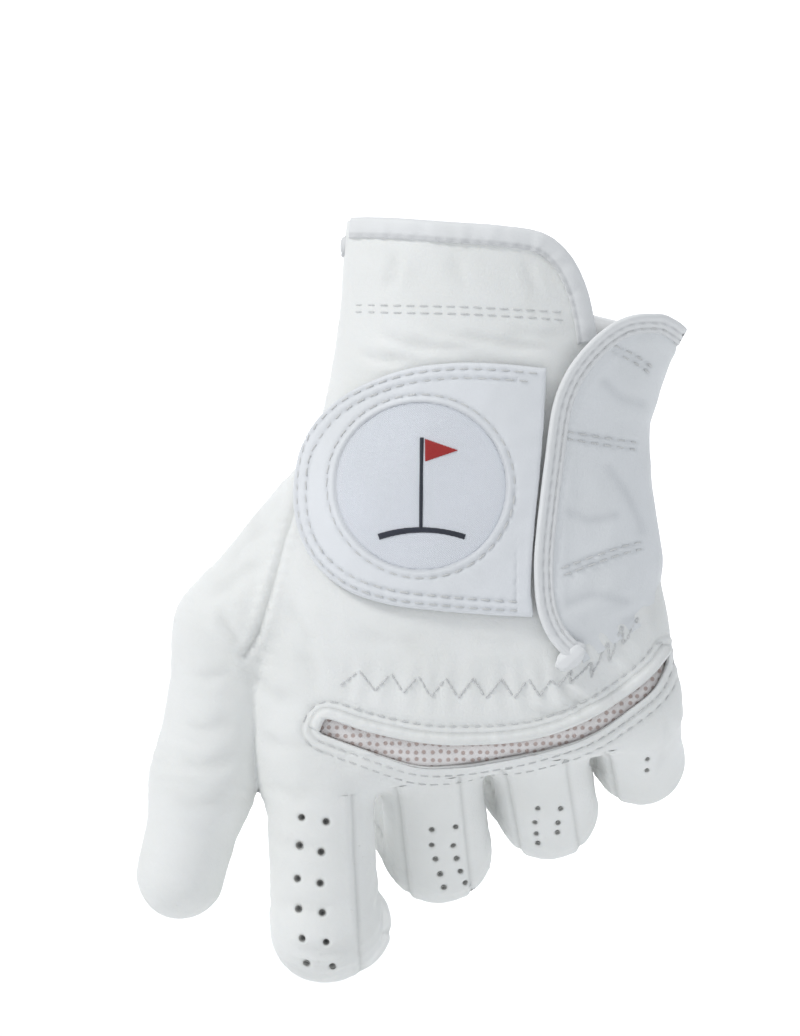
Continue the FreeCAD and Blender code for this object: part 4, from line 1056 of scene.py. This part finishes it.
# ------------------------------------------------------------------ flap on the little finger's side of the slit
def flap_mesh():
    st = .5
    ph = np.arange(5, 112, st * 1.75)
    z = np.arange(-90, -15, st)
    PH, Z = np.meshgrid(np.radians(ph), z, indexing="ij")
    cx, cy, a, b = [hermite(Z, k) for k in (1, 2, 3, 4)]
    e = flare(Z)
    off = 1.75
    X = cx + e / 2 + (a + off + e / 2) * np.sin(PH)
    # height above the hand falls to nothing along the lower edge and round the side
    low = -(X - 21) * .525 + (Z + 86.5) * .85
    k = ss(low / 10) * (1 - .72 * ss((np.degrees(PH) - 82) / 24))
    off = -.35 + (1.75 + .35) * k
    X = cx + e / 2 + (a + off + e / 2) * np.sin(PH)
    Y = cy - (b + off + e / 8) * np.cos(PH)
    P = np.stack([X, Y, Z], -1).reshape(-1, 3)
    I = np.arange(len(P)).reshape(X.shape)
    quad = np.stack([I[:-1, :-1].ravel(), I[1:, :-1].ravel(), I[1:, 1:].ravel(), I[:-1, 1:].ravel()], 1)
    T = np.concatenate([quad[:, [0, 1, 2]], quad[:, [0, 2, 3]]])
    E2 = offset_line(resample(EDGE, 1.0), 1.4)
    poly = np.concatenate([E2, [(24, -91), (60, -91), (60, -19.6)]])
    P, T = clip(P, T, poly_d(P[:, [0, 2]], poly)[0])
    P, T = clip(P, T, -1.0 * (-(P[:, 0] - 21) * .525 + (P[:, 2] + 86.5) * .85))
    N = np.zeros_like(P)
    fn = np.cross(P[T[:, 1]] - P[T[:, 0]], P[T[:, 2]] - P[T[:, 0]])
    for j in range(3):
        np.add.at(N, T[:, j], fn)
    N /= np.linalg.norm(N, axis=1, keepdims=True) + 1e-9
    c = np.array([5, 4, 0])
    if (N * (P - c) * [1, 1, 0]).sum() < 0:
        N = -N; T = T[:, ::-1]
    h = .16 * waves(P, 71, 1 / 17) + .06 * waves(P, 72, 1 / 6)
    sh = np.zeros(len(P))
    q = P[:, [0, 2]]
    for L, rows in FLAPROWS:
        L = resample(np.array(px(L)), 1.0)
        d, s, sd = line_d(q, L)
        d = d * sd
        ln = np.linalg.norm(np.diff(L, axis=0), axis=1).sum()
        endf = ss((s + .1) / .8) * ss((ln - s + .1) / .8)
        # stitch grooves, with painted shade in them
        for k in rows:
            g = bump(d - k, .42) * endf
            h -= .2 * g * (1 + .5 * np.cos(s / 2.6 * 2 * np.pi)); sh += .26 * g
        h += .1 * bump(d, .9) * endf
    # creases, with painted shade along them
    for pts, a_, w in [([(606, 470), (625, 496), (640, 530)], .16, 2.2), ([(566, 602), (592, 594), (622, 600)], .2, 2.2), ([(600, 385), (618, 400), (640, 405)], .2, 2.2), ([(566, 512), (588, 520), (612, 516)], .14, 2.2), ([(622, 620), (642, 612), (656, 618)], .2, 2)]:
        L = resample(curve(px(pts), 6), 1.5)
        d, s, _ = line_d(q, L)
        h += a_ * (-bump(d, w * .6) + .5 * bump(d - w * 1.3, w * .8)); sh += .2 * bump(d, w * .45)
    edge = -line_d(q, resample(EDGE, 1.0))[0]
    h += .22 * bump(-edge - 5.2, 1.2)
    P = P + N * h[:, None]
    n = len(P)
    A, F = thicken(P, T, N, .85)
    # the inner skin gets a little painted shade
    return A, F, np.concatenate([sh, np.full(n, .12)])


FLAPROWS = [([(559, 437), (598, 443), (637, 448)], (-.6, .8)), ([(557, 572), (590, 560), (620, 550), (642, 545)], (-.6, .8)), ([(606, 352), (628, 361), (650, 374)], (-.5, .8))]
A, F, sh = flap_mesh()
mk("wrist_flap_leather", A, F, M_FLAP, sh, FLAPB, ["wrist_flap", "tab_root"])


def flap_at(q):
    P = on_flap(q, 1.75)
    N = on_flap(q, 2.75) - P
    low = -(P[:, 0] - 21) * .525 + (P[:, 2] + 86.5) * .85
    return P - N * (2.1 * (1 - ss(low / 10)))[:, None] + N * .02, N, np.ones(len(q), bool)


L = []
for pts, rows in FLAPROWS:
    base = resample(np.array(px(pts)), .8)
    L += [offset_line(base, k) for k in rows]
V, F = stitch_rows(L, flap_at, radius=.19, lift=.06)
mk("flap_stitching", V, F, M_THREAD, None, FLAPB, ["flap_thread"])
bl = offset_line(resample(EDGE, .8), 2.75)
V, F = stitch_rows([bl], lambda q: (on_flap(q, 2.25), on_flap(q, 3.25) - on_flap(q, 2.25), np.ones(len(q), bool)), pitch=2.6, radius=.19, lift=.05)
mk("binding_stitching", V, F, M_THREAD, None, "wrist_flap")

# where the tab is sewn in, under the binding
tabroot = resample(np.concatenate([[(9.8, -76.2), (10.0, -62), (10.9, -48), (11.9, -36), (12.8, -28.4)], [(22.5, -27.6), (18.5, -35), (17.2, -50), (16.6, -63), (17.0, -76.0), (9.8, -76.2)]]), 1.0)[:-1]

# palm side of the cuff
ph = np.radians(np.linspace(-97, 97, 200))
z = np.full(len(ph), -5.0)
for _ in range(6):
    x = hermite(z, 1) + hermite(z, 3) * np.sin(ph)
    z = -1.5 - .30 * (x + 24)


def palm_rim(i_z, off):
    zz = z + i_z
    cx, cy, a, b = [hermite(zz, k) for k in (1, 2, 3, 4)]
    return np.stack([cx + (a + off) * np.sin(ph), cy + (b + off) * np.cos(ph), zz], 1)


# the same tape round the palm side; the third value of each row is painted shade
rows, shs = [], []
s = np.cumsum(np.r_[0, np.hypot(np.diff(x), np.diff(hermite(z, 4) * np.cos(ph)))])
for w, o, sd in [(-w_, o_, s_) for w_, o_, s_ in [(-.35, .2, .1), (-.5, -.4, .1), (-.1, -1.25, .2), (1.4, -1.5, .2), (3.2, -1.45, .25), (3.6, -.9, .3), (3.7, .15, .3), (3.55, .75, .1), (3.0, .68, .35), (2.5, .95, 0), (1.5, 1.05, 0), (.5, 1.0, 0), (-.1, .7, 0)]]:
    rows.append(palm_rim(w, o + .06 * np.cos(s * 1.3) + .05 * np.cos(s * .7))); shs.append(np.full(len(ph), sd))
V = np.stack(rows, 1).reshape(-1, 3)
m, k = len(ph), len(rows)
F = []
for j in range(k):
    a = np.arange(m - 1) * k + j; b = np.arange(m - 1) * k + (j + 1) % k
    F += [np.stack([a, b, b + k], 1), np.stack([a, b + k, a + k], 1)]
F.append(np.array([(0, j + 1, j) for j in range(1, k - 1)] + [((m - 1) * k, (m - 1) * k + j, (m - 1) * k + j + 1) for j in range(1, k - 1)]))
F = np.concatenate(F)
c = V.mean(0)
mk("palm_binding_tape", V, F, M_BIND, np.stack(shs, 1).ravel(), "hand", ["palm_binding"])

# strips inside, seen through the opening
poly = resample(np.array([(-22, -3.4), (-10, -3.4), (6, -5), (14, -9), (18, -14), (19.6, -20), (-2, -19.4), (-22.5, -18.4), (-22, -3.4)]), 1)[:-1]
sheet("cuff_facing_strip", poly, -1.7, .5, M_LINE, "hand", ["cuff_facing"], step=.8, edge=.2)
zl = resample(ZIG, 1.0)
zpoly = resample(np.concatenate([offset_line(zl, 3), offset_line(zl, -3)[::-1], offset_line(zl, 3)[:1]]), 1)[:-1]
sheet("knuckle_elastic_band", zpoly, -1.85, .6, M_ELAST, "hand", ["knuckle_elastic"], step=.8, edge=.2)
V, F = [], []
zz = np.linspace(-40, -33.5, 14)
pp = np.radians(np.linspace(-78, 78, 90))
for zi in zz:
    cx, cy, a, b = [float(hermite(zi, k)) for k in (1, 2, 3, 4)]
    V.append(np.stack([cx + (a - 1.25 + .12 * np.cos(pp * 60)) * np.sin(pp), cy + (b - 1.25 + .12 * np.cos(pp * 60)) * np.cos(pp), np.full(len(pp), zi)], 1))
V = np.concatenate(V)
k = len(pp)
i, j = np.meshgrid(np.arange(13), np.arange(k - 1), indexing="ij")
a = (i * k + j).ravel()
F = np.concatenate([np.stack([a, a + 1, a + k + 1], 1), np.stack([a, a + k + 1, a + k], 1)])
mk("wrist_elastic_band", V, F, M_ELAST, None, "hand", ["wrist_elastic"])

# ------------------------------------------------------------------ stitching on the back
cl = lambda pts: resample(curve(px(pts), 8), .8)
V, F = stitch_rows([cl([(352, 307), (400, 310), (460, 312), (520, 315), (566, 317)]), cl([(352, 314), (400, 317), (460, 319), (520, 322), (568, 325)])], skin_at, radius=.19, lift=.05)
mk("cuff_stitching", V, F, M_THREAD, None, "hand", ["cuff_thread"])
w1 = resample(np.concatenate([WINDOW, WINDOW[:1]]), 1.0)
sg = -1 if poly_d(offset_line(w1, 1.5)[30:31], WINDOW)[0][0] < 0 else 1
V, F = stitch_rows([offset_line(w1, sg * 1.5), offset_line(w1, sg * 3.2)], skin_at, pitch=2.4, length=1.6, radius=.19, lift=.05)
mk("window_stitching", V, F, M_THREAD, None, "hand")
zlines = []
zp = np.array(ZZ)
V, F = stitch_rows([resample(np.stack([zp[i], zp[i + 1]]), .4) for i in range(len(zp) - 1)], skin_at, pitch=1.3, length=1.15, radius=.24, lift=.10)
mk("zigzag_stitching", V, F, M_THREAD, None, "hand", ["zigzag_thread"])


def ellipsoid(c, r, A, n=18):
    V, F = [], []
    for i in range(n + 1):
        t = math.pi * i / n
        for k in range(2 * n):
            a = math.pi * k / n
            v = np.array([math.sin(t) * math.cos(a) * r[0], math.sin(t) * math.sin(a) * r[1], math.cos(t) * r[2]])
            v *= 1 + .05 * math.cos(3 * a + 2) * math.sin(t) + .04 * math.cos(7 * t + a)
            V.append(np.array(c) + A @ v)
    m = 2 * n
    for i in range(n):
        for k in range(m):
            a, b = i * m + k, i * m + (k + 1) % m
            F.append((a, a + m, b + m)); F.append((a, b + m, b))
    return np.array(V), np.array(F)


# the folded end of the binding, turned under and tacked down at the foot of the slit
e0 = on_flap(np.array([[19.4, -84.6]]), 1.9)[0]
th = math.radians(-38)
Rm = np.array([[math.cos(th), 0, math.sin(th)], [0, 1, 0], [-math.sin(th), 0, math.cos(th)]])
V, F = ellipsoid(e0, (3.3, 1.45, 2.0), Rm)
F = F[:, ::-1] if np.einsum("ij,ij->i", V[F[:, 0]] - e0, np.cross(V[F[:, 1]] - e0, V[F[:, 2]] - e0)).sum() < 0 else F
mk("binding_end_fold", V, F, M_BIND, None, "wrist_flap")

# ------------------------------------------------------------------ room
me = bpy.data.meshes.new("floor")
R, fz = 3.2, -.185
prof_ = [(-3.2, fz), (-.5, fz), (.5, fz), (1.8, fz)] + [(1.8 + .8 * math.sin(t), fz + .8 * (1 - math.cos(t))) for t in np.linspace(.08, math.pi / 2, 18)] + [(2.6, 2.8)]
vs = [(x_, y_, z_) for (y_, z_) in prof_ for x_ in (-R, R)]
fs = [(2 * i, 2 * i + 1, 2 * i + 3, 2 * i + 2) for i in range(len(prof_) - 1)]
me.from_pydata(vs, [], fs); me.shade_smooth()
fl = bpy.data.objects.new("floor", me)
bpy.context.scene.collection.objects.link(fl)
fm = bpy.data.materials.new("floor_paint"); fm.use_nodes = True
fb = fm.node_tree.nodes["Principled BSDF"]
fb.inputs["Base Color"].default_value = (.86, .865, .87, 1); fb.inputs["Roughness"].default_value = .9
me.materials.append(fm)
w = bpy.data.worlds.new("room"); bpy.context.scene.world = w; w.use_nodes = True
w.node_tree.nodes["Background"].inputs["Color"].default_value = (.93, .96, 1, 1)
w.node_tree.nodes["Background"].inputs["Strength"].default_value = .6


def area(name, loc, target, size, power, col=(1, 1, 1)):
    l = bpy.data.lights.new(name, "AREA"); l.energy = power; l.size = size; l.color = col
    o = bpy.data.objects.new(name, l); bpy.context.scene.collection.objects.link(o)
    o.location = loc
    from mathutils import Vector
    o.rotation_euler = (Vector(target) - Vector(loc)).to_track_quat("-Z", "Y").to_euler()
    return o


C = (-.014, 0, -.06)
area("key", (-.62, -.42, .55), C, .22, 3.15, (1, .99, .975))
area("fill", (.75, -.7, .1), C, .7, .45, (.95, .98, 1))
area("top", (.05, .05, .9), C, .5, .7)
back = area("wall_wash", (0, 1.0, 1.3), (0, 2.5, .1), 1.2, 48.0)
cam = bpy.data.cameras.new("cam"); co = bpy.data.objects.new("cam", cam)
bpy.context.scene.collection.objects.link(co)
cam.lens, cam.sensor_width = 135, 36
# 1036 px of height at 0.2 mm each fill the long side of the sensor
dist = .2072 * 135 / 36
co.location = (-.014, -dist, -.0572)
co.rotation_euler = (math.pi / 2, 0, 0)
cam.clip_start, cam.clip_end = .01, 20
bpy.context.scene.camera = co
bpy.context.scene.view_settings.view_transform = "Standard"

bpy.context.view_layer.update()
